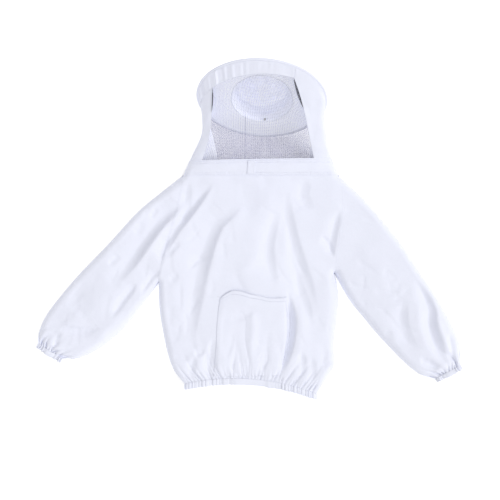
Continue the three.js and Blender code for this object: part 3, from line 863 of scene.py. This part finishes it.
def cuff_place(side):
    top, under = np.array(SLEEVE_TOP[side][-1], float), np.array(SLEEVE_UNDER[side][-1], float)
    centre = (top + under) / 2
    across = (top - under) / np.linalg.norm(top - under)
    along = np.array([math.cos(CUFF_AIM[side]), math.sin(CUFF_AIM[side])])

    def place(x, z, drop):
        xy = centre + np.outer(x, across) + np.outer(drop, along)
        return np.column_stack([xy, z + CUFF_MIDDLE[side]])

    return place


class SMOCK_OT_hem(bpy.types.Operator):
    """Gather the hem and the cuffs on their elastic"""

    bl_idname = "smock.hem"
    bl_label = "Hem and cuffs"

    def execute(self, context):
        ring = (hem_place, HEM_HALF, HEM_MIDDLE - CASING_MARGIN, 21, 3.4, HEM_PLEAT, HEM_PITCH, HEM_SEED)
        edges = [("hem_casing_cloth", "hem_casing", "waist_elastic_strip", "waist_elastic", "jacket", ring)]
        for side, word in WORD.items():
            ring = (cuff_place(side), CUFF_HALF, CUFF_MIDDLE[side] - CASING_MARGIN, 16, 3.2)
            ring += (CUFF_PLEAT, CUFF_PITCH, CUFF_SEED + side, side == RIGHT)
            names = [word + "_cuff_" + part for part in ("cloth", "casing", "strip", "elastic")]
            edges.append((*names, word + "_arm", ring))
        for casing, casing_node, strip, strip_node, body, ring in edges:
            casing = gathered_band(casing, CASING_SECTION, *ring)
            finish_piece(casing, cloth_material(), body, [casing_node])
            strip = thicken(gathered_band(strip, ELASTIC_SECTION, *ring), 0.8, 0)
            finish_piece(strip, elastic_material(), body, [strip_node])
        return {"FINISHED"}


# ---- Sleeves


def sleeve_points(side):
    rows, columns = 170, 84
    top, under = curve(SLEEVE_TOP[side], rows), curve(SLEEVE_UNDER[side], rows)
    seam = curve(RAGLAN[side], 60)
    share = 0.5 - 0.5 * np.cos(np.pi * np.linspace(0, 1, columns))
    v = np.linspace(0, 1, rows)[:, None]
    x = mix(under[:, :1], top[:, :1], share[None, :])
    y = mix(under[:, 1:], top[:, 1:], share[None, :])
    at = np.linspace(0, 1, len(seam))
    seam_x, seam_y = np.interp(share, at, seam[:, 0]), np.interp(share, at, seam[:, 1])
    pull = (1 - v) ** 3
    x = x + (seam_x - x[:1]) * pull
    y = y + (seam_y - y[:1]) * pull
    length = np.linalg.norm(np.diff(curve(SLEEVE_TOP[side], 60), axis=0), axis=1).sum()
    to_cuff = (1 - v) * length + 0 * x
    z = lay(x, y)
    run = share[None, :] * 2 * CUFF_HALF * mix(1, 1.5, smooth(to_cuff / 200))
    gathers = CUFF_PLEAT * pleats(run, to_cuff, CUFF_PITCH, CUFF_SEED + side)
    z = mix(drawn_in(share, CUFF_MIDDLE[side])[None, :], z, smooth(to_cuff / 46))
    z += gathers * off_ends(share, 0.06)[None, :] * mix(1.0, 1.8, smooth(to_cuff / 12))
    upper = np.stack([x, y, z], axis=2)
    lower = np.stack([x, y, UNDERSIDE + 0.4 * crumple(x, y, 50, 80)], axis=2)
    return np.concatenate([upper, lower[:, ::-1][:, 1:-1]], axis=1)


class SMOCK_OT_sleeves(bpy.types.Operator):
    """Lay the two sleeves, gathered to their cuffs"""

    bl_idname = "smock.sleeves"
    bl_label = "Sleeves"

    def execute(self, context):
        for side, word in WORD.items():
            p = sleeve_points(side)
            sleeve = thicken(grid(word + "_sleeve_cloth", p, around=True, flip=side == LEFT))
            finish_piece(sleeve, cloth_material(), None, [word + "_sleeve"])
            (ux, uy), (nx, ny) = RAGLAN[side][0], NECK_ENDS[side]
            seam = Vector((nx - ux, ny - uy, 0)).normalized()
            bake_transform(sleeve)
        return {"FINISHED"}


# ---- Pocket

POCKET = {  # its outline, left and right as the wearer has them
    "top": [(-95, -153), (-84, -140), (-63, -129), (-35, -130), (-3, -140), (28, -145), (60, -152),
            (114, -151)],
    "right": [(-95, -153), (-101, -190), (-106, -245), (-108, -300), (-117, -404)],
    "left": [(114, -151), (119, -200), (121, -253), (114, -316), (100, -398)],
}


POCKET_FOLDS = [
    ([(-22, -176), (-28, -253), (-24, -310), (-2, -360)], -7, 16, 30),
    ([(6, -180), (10, -250), (4, -310), (8, -350)], 4, 16, 14),
    ([(-79, -316), (-48, -336), (-4, -318)], -3, 7, 8),
    ([(14, -290), (54, -286), (94, -304)], -3.5, 5, 9),
    ([(-58, -330), (-50, -366), (-52, -396)], -3, 8, 8),
    ([(40, -320), (46, -360), (44, -396)], -3, 8, 8),
]


TACK_TURNS = 18
MOUTH_OPENING = 5  # how far the pocket's mouth stands open


def body_share(x, y):
    """How far across the body the points are, 0 at its right side and 1 at its left."""
    ends = []
    for s in (RIGHT, LEFT):
        side = np.vstack([curve(SIDE[s]), curve(RAGLAN[s])[1:]])
        ends.append(np.interp(y, side[:, 1], side[:, 0]))
    return np.clip((x - ends[0]) / (ends[1] - ends[0]), 0, 1)


def pocket_points():
    rows, columns = 84, 80
    top = curve(POCKET["top"], columns)
    right, left = curve(POCKET["right"], rows)[::-1], curve(POCKET["left"], rows)[::-1]
    u, v = np.linspace(0, 1, columns)[None, :], np.linspace(0, 1, rows)[:, None]
    x = mix(right[:, :1], left[:, :1], u)
    y = mix(right[:, 1:], left[:, 1:], u)
    straight = mix(right[-1], left[-1], np.linspace(0, 1, columns)[:, None])
    y = y + (top - straight)[:, 1][None, :] * smooth((v - 0.6) / 0.4)
    sewn = np.minimum(off_ends(u, 0.1), smooth(v / 0.12))
    z = front_height(x, y, body_share(x, y)) + 0.4 + 0.85 * off_ends(u, 0.06) * smooth(v / 0.1)
    mouth = np.exp(-(((u - 0.3) / 0.2) ** 2)) + 0.35 * np.exp(-(((u - 0.75) / 0.2) ** 2))
    z += MOUTH_OPENING * mouth * smooth((v - 0.72) / 0.28)
    for points, *fold in POCKET_FOLDS:
        z += sewn * fold_height(x, y, curve(points, 16), *fold)
    return np.stack([x, y, z + 0.8 * sewn * noise(x, y, 34, 92)], axis=2)


def row_of(p, share):
    """The line across a grid of points at a share of the way up its rows."""
    at = share * (len(p) - 1)
    low = min(int(at), len(p) - 2)
    return mix(p[low], p[low + 1], at - low)


class SMOCK_OT_pocket(bpy.types.Operator):
    """Sew the patch pocket on, its mouth standing a little open"""

    bl_idname = "smock.pocket"
    bl_label = "Pocket"

    def execute(self, context):
        p = pocket_points()
        pocket = thicken(grid("pocket_cloth", p))
        finish_piece(pocket, cloth_material(), "jacket", ["front_pocket"])
        hem = p[-5:].copy()
        hem[:, :, 2] += 0.6
        fold = thicken(grid("pocket_top_hem", hem), 0.8)
        finish_piece(fold, cloth_material(), "jacket")
        sew("pocket_top_stitches", row_of(p, 0.955), raised=1.0)
        for name, column in (("right", 1), ("left", -2)):
            sew("pocket_%s_stitches" % name, p[:, column])
        for word in ("left", "right"):
            low, high = (np.array(c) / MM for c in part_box("pocket_bartack_" + word))
            turns = np.arange(TACK_TURNS)
            across, along = turns % 2, turns / (len(turns) - 1)
            long_x = high[0] - low[0] > high[1] - low[1]
            x, y = (along, across) if long_x else (across, along)
            zigzag = np.stack([mix(low[0], high[0], x), mix(low[1], high[1], y), 0 * along + high[2]], axis=1)
            tack = {"every": 1.1, "length": 1.3, "width": 0.6}
            sew("pocket_bartack_stitches_" + word, zigzag, ["pocket_bartack_" + word], raised=-0.3, **tack)
        return {"FINISHED"}


# ---- Neck band


BAND_HEIGHT = 33  # how high the band's upper edge stands in the middle over its ends
BAND_TILT = 8.0  # how much lower the band's upper edge lies at the wearer's right end
BAND_STITCHES = (0.07, 0.18, 0.8, 0.93)  # rows, as shares of the way up the band
STITCH_GROOVE = 1.9  # how deep the rows draw the band in
LAP_AT, LAP_HALF = 4, 16  # the middle of the lap of its ends, and half its width


def band_rim(s):
    """Height of the neck band's upper edge at s, -1 at the wearer's right end and 1 at the left."""
    return 3 + BAND_HEIGHT * np.sqrt(np.clip(1 - np.abs(s) ** 3.2, 0, 1))


def neck_points():
    columns, rows = 170, 60
    s = np.sin(np.linspace(-np.pi / 2, np.pi / 2, columns))[None, :]
    s = mix(s, np.linspace(-1, 1, columns)[None, :], 0.4)
    v = np.linspace(0, 1, rows)[:, None]
    u = (s + 1) / 2
    foot, rim = (mix(ends[RIGHT][0], ends[LEFT][0], u) for ends in (NECK_ENDS, BAND_ENDS))
    x = mix(foot, rim, v)
    y = mix(NECK_Y - 2.5, BAND_TOP_Y - BAND_TILT * (1 - u), v) + 0 * x
    low = lay(x[:1] + 0 * x, y[:1] + 0 * x) + 1.3
    z = mix(low, band_rim(s) + 0 * x, smooth(v))
    z += 1.6 * np.sin(np.pi * v) * (1 - s**8) + 0.8 * noise(x, y, 30, 101) * np.sin(np.pi * v)
    for row in BAND_STITCHES:
        pucker = 0.5 + 0.35 * noise(x, 0 * x, 7, 102) + 0.3 * noise(x, 0 * x, 23, 103)
        z -= STITCH_GROOVE * pucker * np.exp(-(((v - row) / 0.035) ** 2))
    return np.stack([x, y, z], axis=2)


class SMOCK_OT_neck(bpy.types.Operator):
    """Sew the neck band and the lap of its ends"""

    bl_idname = "smock.neck"
    bl_label = "Neck band"

    def execute(self, context):
        p = neck_points()
        band = thicken(grid("neck_band_cloth", p), 1.8)
        finish_piece(band, cloth_material(), "jacket", ["neck_band_front"])
        flat = p[::6, ::3].copy()
        flat[:, :, 2] = UNDERSIDE
        back = thicken(grid("neck_band_back_cloth", flat), 0.9)
        finish_piece(back, cloth_material(), "jacket", ["neck_band_back"])
        near = (np.abs(p[0, :, 0] - LAP_AT) < LAP_HALF).nonzero()[0]
        tab = p[5:-5, near[0] : near[-1] + 1].copy()
        tab[:, :, 2] += 0.7
        lap = thicken(grid("neck_lap_cloth", tab), 1.4)
        finish_piece(lap, cloth_material(), "jacket", ["neck_band_overlap"])
        for i, share in enumerate(BAND_STITCHES):
            sew("neck_band_stitches_%d" % i, row_of(p, share))
        inner = tab[3:-3, 1:-1]
        box = np.concatenate([inner[0], inner[:, -1], inner[-1, ::-1], inner[::-1, 0]])
        sew("neck_lap_stitches", box, raised=0.2)
        return {"FINISHED"}


# ---- Hat

HAT_STEPS = 160  # points round each ring of the hat
BRIM = (200.0, 173.0)  # half its width and half its depth
CROWN = (95.0, 104.0)  # the same of the crown's opening
CROWN_TOP = 81.0  # half the width of the crown's top
CROWN_HEIGHT = 46.0
CAVED_IN = 20  # how far the crown's top has sunk in the middle
HAT_LEAN = math.radians(57)  # how far the brim has tipped up from the surface
HAT_TURN = math.radians(-4)
BRIM_FOOT_Y = 365  # where the brim's front edge stands
HAT_AT = (36.0, BRIM_FOOT_Y + BRIM[1] * math.cos(HAT_LEAN), BRIM[1] * math.sin(HAT_LEAN) + 1.6)
PIPING_LIP, PIPING_HALF, PIPING_CLOTH = 13.6, 2.9, 1.1  # how far it reaches in, half its height, its wall
NEARLY_QUARTER = 1.57


def on_hat(p):
    """Turns points from the hat's own frame, its brim flat and the crown on the -Z side, into the smock's."""
    p = np.asarray(p, float)
    x, y, z = p[..., 0], p[..., 1], p[..., 2]
    c, s = math.cos(HAT_LEAN), math.sin(HAT_LEAN)
    y, z = y * c - z * s, y * s + z * c
    c, s = math.cos(HAT_TURN), math.sin(HAT_TURN)
    x, y = x * c - y * s, x * s + y * c
    return np.stack([x + HAT_AT[0], y + HAT_AT[1], z + HAT_AT[2]], axis=-1)


def oval(radius):
    """How much longer than wide the hat is at a radius: the brim and the crown are both oval."""
    t = np.clip((radius - CROWN[0]) / (BRIM[0] - 4.6 - CROWN[0]), 0, 1)
    return mix(CROWN[1] / CROWN[0], BRIM[1] / BRIM[0], t)


def hat_ring(name, section, warp=None, closed=True):
    """A ring round the hat's axis, from the points [radius, height] of its section."""
    turn = np.linspace(0, 2 * np.pi, HAT_STEPS, endpoint=False)[None, :]
    r, h = (np.array(of_section, float)[:, None] + 0 * turn for of_section in zip(*section))
    if warp:
        r, h = warp(r, h, turn)
    p = np.stack([r * np.sin(turn), r * oval(r) * np.cos(turn), h], axis=2)
    if closed:
        p = np.concatenate([p, p[:1]], axis=0)
    return join_edges(grid(name, on_hat(p), around=True))


def brim_warp(r, h, turn):
    share = np.clip((r - CROWN[0]) / (BRIM[0] - CROWN[0]), 0, 1)
    wave = 1.6 * np.sin(3 * turn + 0.6) + 1.1 * np.sin(5 * turn + 2.0)
    return r, h + share * wave * np.sin(np.pi * share) + 0.5 * noise(r, turn * 60, 22, 110)


def crown_bulge(turn, h):
    """How far the crown's side stands out from its cone at a height."""
    return 9 * noise(turn * 28, h, 17, 120) - 6 * crumple(turn * 40, h, 30, 121) ** 3


def crown_warp(r, h, turn):
    depth = np.clip(-h / CROWN_HEIGHT, 0, 1.2)
    x, y = r * np.sin(turn), r * np.cos(turn)
    amount = smooth(depth * 1.6)
    r = r + amount * crown_bulge(turn, h)
    r = r - 3 * amount * crumple(turn * 60, h, 14, 125) ** 3
    return r, h + amount * 5 * noise(x, y, 36, 123)


CROWN_FOLDS = [  # across the crown's top, in the hat's own frame
    ([(-60, 58), (-44, 10), (-26, -30), (8, -62)], -26, 11, 24),
    ([(-14, 74), (-8, 30), (-20, -6), (-6, -44)], -20, 9, 22),
    ([(24, 72), (30, 34), (26, -2), (40, -40)], -24, 10, 24),
    ([(70, 20), (40, 8), (14, 18)], -16, 8, 18),
    ([(-72, 12), (-58, -34), (-30, -66)], -18, 8, 20),
    ([(62, -24), (34, -52), (0, -70)], -14, 8, 16),
]


def cap_warp(r, h, turn):
    x, y = r * np.sin(turn), r * np.cos(turn)
    inside = smooth((CROWN_TOP - r) / 26)
    creases = CAVED_IN * smooth((CROWN_TOP - r) / 60)
    creases = creases + 5 * noise(x, y, 22, 133) + 9 * crumple(x, y, 30, 134) ** 5
    for points, *fold in CROWN_FOLDS:
        creases = creases + fold_height(x, y, curve(points, 12), *fold)
    rim = crown_bulge(turn, 0 * h - CROWN_HEIGHT)
    rim_h = 5 * noise(CROWN_TOP * np.sin(turn), CROWN_TOP * np.cos(turn), 36, 123)
    return r + (1 - inside) * rim * (r / CROWN_TOP), h + mix(rim_h, creases, inside)


def sweat_warp(r, h, turn):
    return r + 1.0 * noise(turn * 60, h, 9, 140) - 0.4, h + 0.8 * noise(turn * 60, h, 12, 141)


class SMOCK_OT_hat(bpy.types.Operator):
    """Make the brim with its hoop and piping, and the soft crown"""

    bl_idname = "smock.hat"
    bl_label = "Hat"

    def execute(self, context):
        # The brim's underside and the sweatband get a painted glow for the light that comes through the cloth.
        cloth, brim_glow_cloth = cloth_material(), painted_glow_material("brim_polycotton", 0.15)
        radii = np.linspace(CROWN[0] + 0.4, BRIM[0] - 4.8, 16)
        for node, side, finish in (("brim_under", 1, brim_glow_cloth), ("brim_upper", -1, cloth)):
            section = [(r, side * 1.9) for r in radii] + [(r, side * 1.0) for r in radii[::-1]]
            layer = hat_ring(node + "_cloth", section[::side], warp=brim_warp)
            finish_piece(layer, finish, "hood", [node])
        bpy.ops.object.select_all(action="DESELECT")
        bpy.ops.mesh.primitive_torus_add(
            major_radius=(BRIM[0] - 3.4) * MM, minor_radius=1.6 * MM,
            major_segments=HAT_STEPS, minor_segments=10,
        )
        hoop = placed("brim_hoop_wire", (HAT_LEAN, 0, HAT_TURN), Vector(HAT_AT) * MM, (1, BRIM[1] / BRIM[0], 1))
        finish_piece(hoop, elastic_material(), "hood", ["brim_hoop"])
        lip, inner, outer = BRIM[0] - PIPING_LIP, PIPING_HALF, PIPING_HALF + PIPING_CLOTH
        bend = np.linspace(-NEARLY_QUARTER, NEARLY_QUARTER, 11)
        outside = [(BRIM[0] - 4.2 + 4.2 * math.cos(a), outer * math.sin(a)) for a in bend]
        inside = [(BRIM[0] - 4.6 + 3.2 * math.cos(a), inner * math.sin(a)) for a in bend[::-1]]
        section = [(lip, -outer)] + outside + [(lip, outer), (lip, inner)] + inside + [(lip, -inner)]
        piping = hat_ring("brim_piping_cloth", section[::-1])
        finish_piece(piping, cloth, "hood", ["brim_piping"])
        down = np.linspace(0, 1, 30)
        wall = [(mix(CROWN[0] - 0.8, CROWN_TOP, t), mix(1.8, -CROWN_HEIGHT, t)) for t in down]
        side = thicken(hat_ring("crown_side_cloth", wall, warp=crown_warp, closed=False), 0.9, 1.0)
        finish_piece(side, cloth, "hood", ["crown_side"])
        # The crown's side and top get a painted glow on their inner faces.
        painted_glow_inside(side, painted_glow_material("crown_side_polycotton", 0.1))
        dome = [(CROWN_TOP * t, -CROWN_HEIGHT - 6 * (1 - t * t)) for t in np.linspace(1, 0, 60)]
        cap = thicken(hat_ring("crown_top_cloth", dome, warp=cap_warp, closed=False), 0.9, 1.0)
        finish_piece(cap, cloth, "hood", ["crown_top"])
        painted_glow_inside(cap, painted_glow_material("crown_polycotton", 0.17))
        strip = [(CROWN[0] - 2.4 - 0.14 * d, 1.6 - d) for d in np.linspace(0, 30, 8)]
        band = thicken(hat_ring("sweatband_cloth", strip, warp=sweat_warp, closed=False), 1.0, 1.0)
        # The sweatband has the brim's painted glow.
        finish_piece(band, brim_glow_cloth, "hood", ["sweatband"])
        bpy.ops.object.select_all(action="DESELECT")
        bpy.ops.mesh.primitive_torus_add(
            major_radius=2.6 * MM, minor_radius=1.3 * MM, major_segments=20, minor_segments=10
        )
        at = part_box("sweatband_knot")
        knot = placed("sweatband_knot_cord", (0.6, 0.4, 0.3), (Vector(at[0]) + Vector(at[1])) / 2)
        finish_piece(knot, knot_material(), "hood", ["sweatband_knot"])
        return {"FINISHED"}


# ---- Veil

# The window's corners, as shares of the quarter turn from the front to the side, right then left
WINDOW_BOTTOM = (-0.82, 0.74)
WINDOW_TOP = (-0.6, 0.31)
WINDOW_BOW = (0.0, 0.05)  # how far its edges bow out
TOP_BAND = (0.155, 0.105)  # how much of the veil's height the band over it takes
SIDE_PULL = (26.0, 10.0)  # how far the sides are drawn in halfway up, in millimetres
BACK_SEAM = 118.0  # where the side panels meet the net at the back, in degrees round from the front
VEIL_INSET, VEIL_DROP = 6.0, 4.7  # how far in from the brim's edge and below it the veil is sewn
FOOT_Y = BAND_TOP_Y - 2.0
VEIL_BEND = 70  # how much of the veil, above its foot, would bend if the hood folded; the hood is not folded here
NET_SAG = 7


def veil(angle, q):
    """The veil at an angle in degrees round from the front, and q from 0 at the neck band to 1 at the brim."""
    turned = (angle + 540) % 360 - 180
    front = np.abs(turned) <= 90
    s = np.where(front, turned / 90, np.sign(turned) * (180 - np.abs(turned)) / 90)
    foot_x = mix(BAND_ENDS[RIGHT][0], BAND_ENDS[LEFT][0], (s + 1) / 2)
    foot_z = np.where(front, band_rim(s) - 1.8, 2.0)
    foot = np.stack([foot_x, FOOT_Y - BAND_TILT * (1 - s) / 2, foot_z], axis=-1)
    turn = np.radians(turned)
    edge = np.stack([np.sin(turn), BRIM[1] / BRIM[0] * np.cos(turn), 0 * turn], axis=-1)
    edge *= BRIM[0] - VEIL_INSET
    edge[..., 2] = VEIL_DROP
    p = mix(foot, on_hat(edge), q[..., None])
    pull = np.where(s < 0, SIDE_PULL[0], SIDE_PULL[1])
    p[..., 0] -= np.sign(s) * pull * np.abs(s) ** 3 * np.sin(np.pi * q)
    return p


def window_top(angle):
    low, high = 90 * WINDOW_TOP[0], 90 * WINDOW_TOP[1]
    return 1 - mix(TOP_BAND[0], TOP_BAND[1], np.clip((angle - low) / (high - low), 0, 1))


def window_edge(i, q):
    t = np.clip(q / window_top(90 * WINDOW_TOP[i]), 0, 1)
    return 90 * (mix(WINDOW_BOTTOM[i], WINDOW_TOP[i], t) + WINDOW_BOW[i] * 4 * t * (1 - t))


def out_of(p):
    """Unit normals of a grid of points, on the side that rows x columns face."""
    return unit(np.cross(np.gradient(p, axis=1), np.gradient(p, axis=0)))


def veil_net_points():
    v, u = shares(90, 90)
    q = v * window_top(mix(90 * WINDOW_TOP[0], 90 * WINDOW_TOP[1], u))
    p = veil(mix(window_edge(0, q), window_edge(1, q), u), q)
    sag = -NET_SAG * np.sin(np.pi * u) * np.sin(np.pi * v) + 2.0 * noise(p[..., 0], p[..., 1], 70, 150)
    from_edge = np.minimum(np.minimum(u, 1 - u), np.minimum(v, 1 - v))
    return p + out_of(p) * (sag * np.minimum(1, 8 * from_edge))[..., None]


def veil_panel_points(right_edge, left_edge, top, columns, ruffle, seed):
    """A side panel of the veil: each edge is an angle for each height, and top is where it ends."""
    v, u = shares(90, columns)
    q = top * v
    p = veil(mix(right_edge(q), left_edge(q), u), q)
    inside = smooth(np.minimum(u, 1 - u) / 0.12) * smooth(np.minimum(v, 1 - v) / 0.1)
    x, y = p[..., 0], p[..., 1]
    lift = inside * (ruffle * noise(x, y, 46, seed) + 0.35 * ruffle * noise(x, y, 20, seed + 1))
    return p + out_of(p) * lift[..., None]


def veil_top_points():
    """The gathered band between the window and the brim, and on to the left panel's seam."""
    v, u = shares(26, 260)
    angle = mix(-BACK_SEAM, 90 * WINDOW_TOP[1], u)
    p = veil(angle, mix(window_top(angle), 1.0, v))
    gather = 2.2 * noise(angle * 3.4, v * 4, 9, 180) + 1.4 * noise(angle * 3.4, v * 3, 24, 181)
    gather = gather * mix(1.3, 0.35, smooth((angle + 60) / 80)) * smooth(v / 0.15) * smooth((1 - v) / 0.1)
    return p + out_of(p) * gather[..., None]


def veil_back_points():
    v, u = shares(30, 80)
    p = veil(mix(BACK_SEAM, 360 - BACK_SEAM, u), v)
    x, y = p[..., 0], p[..., 1]
    return p + out_of(p) * (1.6 * noise(x, y, 40, 190) + 1.4 * crumple(x, y, 46, 191) ** 3)[..., None]


def net_fold_points(i, low, high, width, seed):
    """A fold of spare net caught in the seam at side i of the window, between two heights."""
    v, u = shares(50, 8)
    q = mix(low, high, v)
    inwards = 1 if i == 0 else -1
    wide = width * np.sin(np.pi * np.clip(v * 1.02, 0, 1)) ** 0.6 * (1 + 0.25 * noise(v * 40, 0 * v, 9, seed))
    angle = window_edge(i, q) + inwards * u * wide
    p = veil(angle, q)
    return p + out_of(p) * (2.2 * np.sin(np.pi * u) + 0.8)[..., None]


NET_FOLDS = {  # side of the window, from and to what height, how wide in degrees, seed
    "right_outer": (0, 0.60, 0.85, 1.7, 200),
    "right_inner": (0, 0.66, 0.80, 1.2, 201),
    "left_outer": (1, 0.62, 0.895, 3.2, 202),
}
TUCK_X, TUCK_TOP_Y = -14.5, 412.0  # where the tuck in the net runs and ends
TUCK_WIDTH = 1.3  # in degrees


def tuck_points():
    """A straight narrow tuck in the front net, from the neck band up past the edge of the brim behind it."""
    heights = np.linspace(0, 0.75, 60)
    angles = np.linspace(-40, 40, 81)
    path = np.array([[np.interp(TUCK_X, veil(angles, q + 0 * angles)[:, 0], angles), q] for q in heights])
    line = veil(path[:, 0], path[:, 1])
    top = np.interp(TUCK_TOP_Y, line[:, 1], heights)
    q = np.linspace(0.01, top, 40)
    angle = np.interp(q, heights, path[:, 0])
    u = np.linspace(-0.5, 0.5, 5)[None, :]
    p = veil(angle[:, None] + u * TUCK_WIDTH / 2, q[:, None] + 0 * u)
    sag = NET_SAG * np.sin(np.pi * 0.45) * np.sin(np.pi * q)[:, None]
    p[..., 2] += 2.0 * np.cos(np.pi * u) + 0.8 - sag * 0.8
    return p


class SMOCK_OT_veil(bpy.types.Operator):
    """Sew the net, the side panels and the gathered band of the veil"""

    bl_idname = "smock.veil"
    bl_label = "Veil"

    def execute(self, context):
        cloth = cloth_material()
        net = grid("veil_net_front", veil_net_points())
        finish_piece(net, net_material(), None, ["veil_net"])
        panels = {
            "side_right": veil_panel_points(
                lambda q: -BACK_SEAM - 8 * (1 - q), lambda q: window_edge(0, q), window_top(-54.0), 60, 3.0, 160
            ),
            "side_left": veil_panel_points(
                lambda q: window_edge(1, q), lambda q: 0 * q + BACK_SEAM, 1.0, 90, 2.4, 170
            ),
            "top": veil_top_points(),
        }
        made = []
        for name, p in panels.items():
            panel = thicken(grid("veil_%s_cloth" % name, p))
            finish_piece(panel, cloth, None, ["veil_top_band" if name == "top" else "veil_" + name])
            # The panels' inner faces get the brim's painted glow.
            painted_glow_inside(panel, painted_glow_material("brim_polycotton", 0.15))
            made.append(panel)
        right, left, top = made
        back = grid("veil_back_net", veil_back_points())
        # The back net's colour has painted light mixed in.
        finish_piece(back, back_net_material(), None, ["veil_back"])
        pieces = [net, right, left, top, back]
        for name, spec in NET_FOLDS.items():
            # The net's folds have painted shade: their threads are darker than the net's.
            fold = grid("net_fold_" + name, net_fold_points(*spec), flip=spec[0] == 1)
            pieces.append(finish_piece(fold, folded_net_material(), None, ()))
        fold = grid("net_tuck", tuck_points())
        # The tuck has the bunched net's painted light.
        pieces.append(finish_piece(fold, back_net_material(), None, ()))
        for piece in pieces:
            foot, bent = Vector((0, FOOT_Y, 0)) * MM, Vector((0, FOOT_Y + VEIL_BEND, 0)) * MM
            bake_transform(piece)
            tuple(foot)
            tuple(bent)
        return {"FINISHED"}


# ---- Stage


FLOOR_SIZE, FLOOR_COLOUR, FLOOR_GLOW = 24, (0.93, 0.93, 0.93), 0.34
ROOM_LIGHT = 0.69
SUNS = (  # where each shines from, how wide it is in degrees, and its strength
    ("key_light", (2.6, 0.1, 1.9), 22, 1.15),
    ("fill_light", (-0.3, -1.0, 2.6), 70, 0.45),
)
CAMERA_HEIGHT, CAMERA_LENS, CAMERA_SENSOR = 3.0, 67.5, 36


class SMOCK_OT_stage(bpy.types.Operator):
    """Set the pale surface, the soft lights and the camera straight above"""

    bl_idname = "smock.stage"
    bl_label = "Stage"

    def execute(self, context):
        scene = context.scene
        bpy.ops.object.select_all(action="DESELECT")
        bpy.ops.mesh.primitive_plane_add(size=FLOOR_SIZE, location=(0, 0, 0))
        floor = context.active_object
        floor.name = "floor"
        floor.data.materials.append(floor_finish("pale_surface", FLOOR_COLOUR, FLOOR_GLOW))
        world = bpy.data.worlds.new("soft_room")
        scene.world = world
        world.use_nodes = True
        background = world.node_tree.nodes["Background"].inputs
        background["Color"].default_value = (1.0, 1.0, 1.0, 1)
        background["Strength"].default_value = ROOM_LIGHT
        for name, at, angle, power in SUNS:
            light = bpy.data.lights.new(name, "SUN")
            light.angle, light.energy = math.radians(angle), power
            o = bpy.data.objects.new(name, light)
            scene.collection.objects.link(o)
            o.location = at
            o.rotation_euler = (-Vector(at)).to_track_quat("-Z", "Y").to_euler()
        camera = bpy.data.cameras.new("camera")
        camera.sensor_width, camera.lens = CAMERA_SENSOR, CAMERA_LENS
        o = bpy.data.objects.new("camera", camera)
        scene.collection.objects.link(o)
        o.location = (0, 0, CAMERA_HEIGHT)
        scene.camera = o
        scene.view_settings.view_transform = "Standard"
        return {"FINISHED"}


class SMOCK_PT_panel(bpy.types.Panel):
    """The smock's pieces, sizes and colours"""

    bl_label = "Smock"
    bl_space_type = "VIEW_3D"
    bl_region_type = "UI"
    bl_category = "Smock"

    def draw(self, context):
        for group in (context.scene.smock_sizes, context.scene.smock_look):
            for key in group.__annotations__:
                self.layout.prop(group, key)
        for operator in OPERATORS:
            self.layout.operator(operator.bl_idname)


OPERATORS = [
    SMOCK_OT_body,
    SMOCK_OT_hem,
    SMOCK_OT_sleeves,
    SMOCK_OT_pocket,
    SMOCK_OT_neck,
    SMOCK_OT_hat,
    SMOCK_OT_veil,
    SMOCK_OT_stage,
]
CLASSES = [SmockLook, SmockSizes, *OPERATORS, SMOCK_PT_panel]


def register():
    for cls in CLASSES:
        bpy.utils.register_class(cls)
    bpy.types.Scene.smock_look = bpy.props.PointerProperty(type=SmockLook)
    bpy.types.Scene.smock_sizes = bpy.props.PointerProperty(type=SmockSizes)


def unregister():
    del bpy.types.Scene.smock_sizes
    del bpy.types.Scene.smock_look
    for cls in reversed(CLASSES):
        bpy.utils.unregister_class(cls)


def main():
    register()
    bpy.ops.smock.body()
    bpy.ops.smock.hem()
    bpy.ops.smock.sleeves()
    bpy.ops.smock.pocket()
    bpy.ops.smock.neck()
    bpy.ops.smock.hat()
    bpy.ops.smock.veil()
    bpy.ops.smock.stage()


if __name__ == "__main__":
    main()
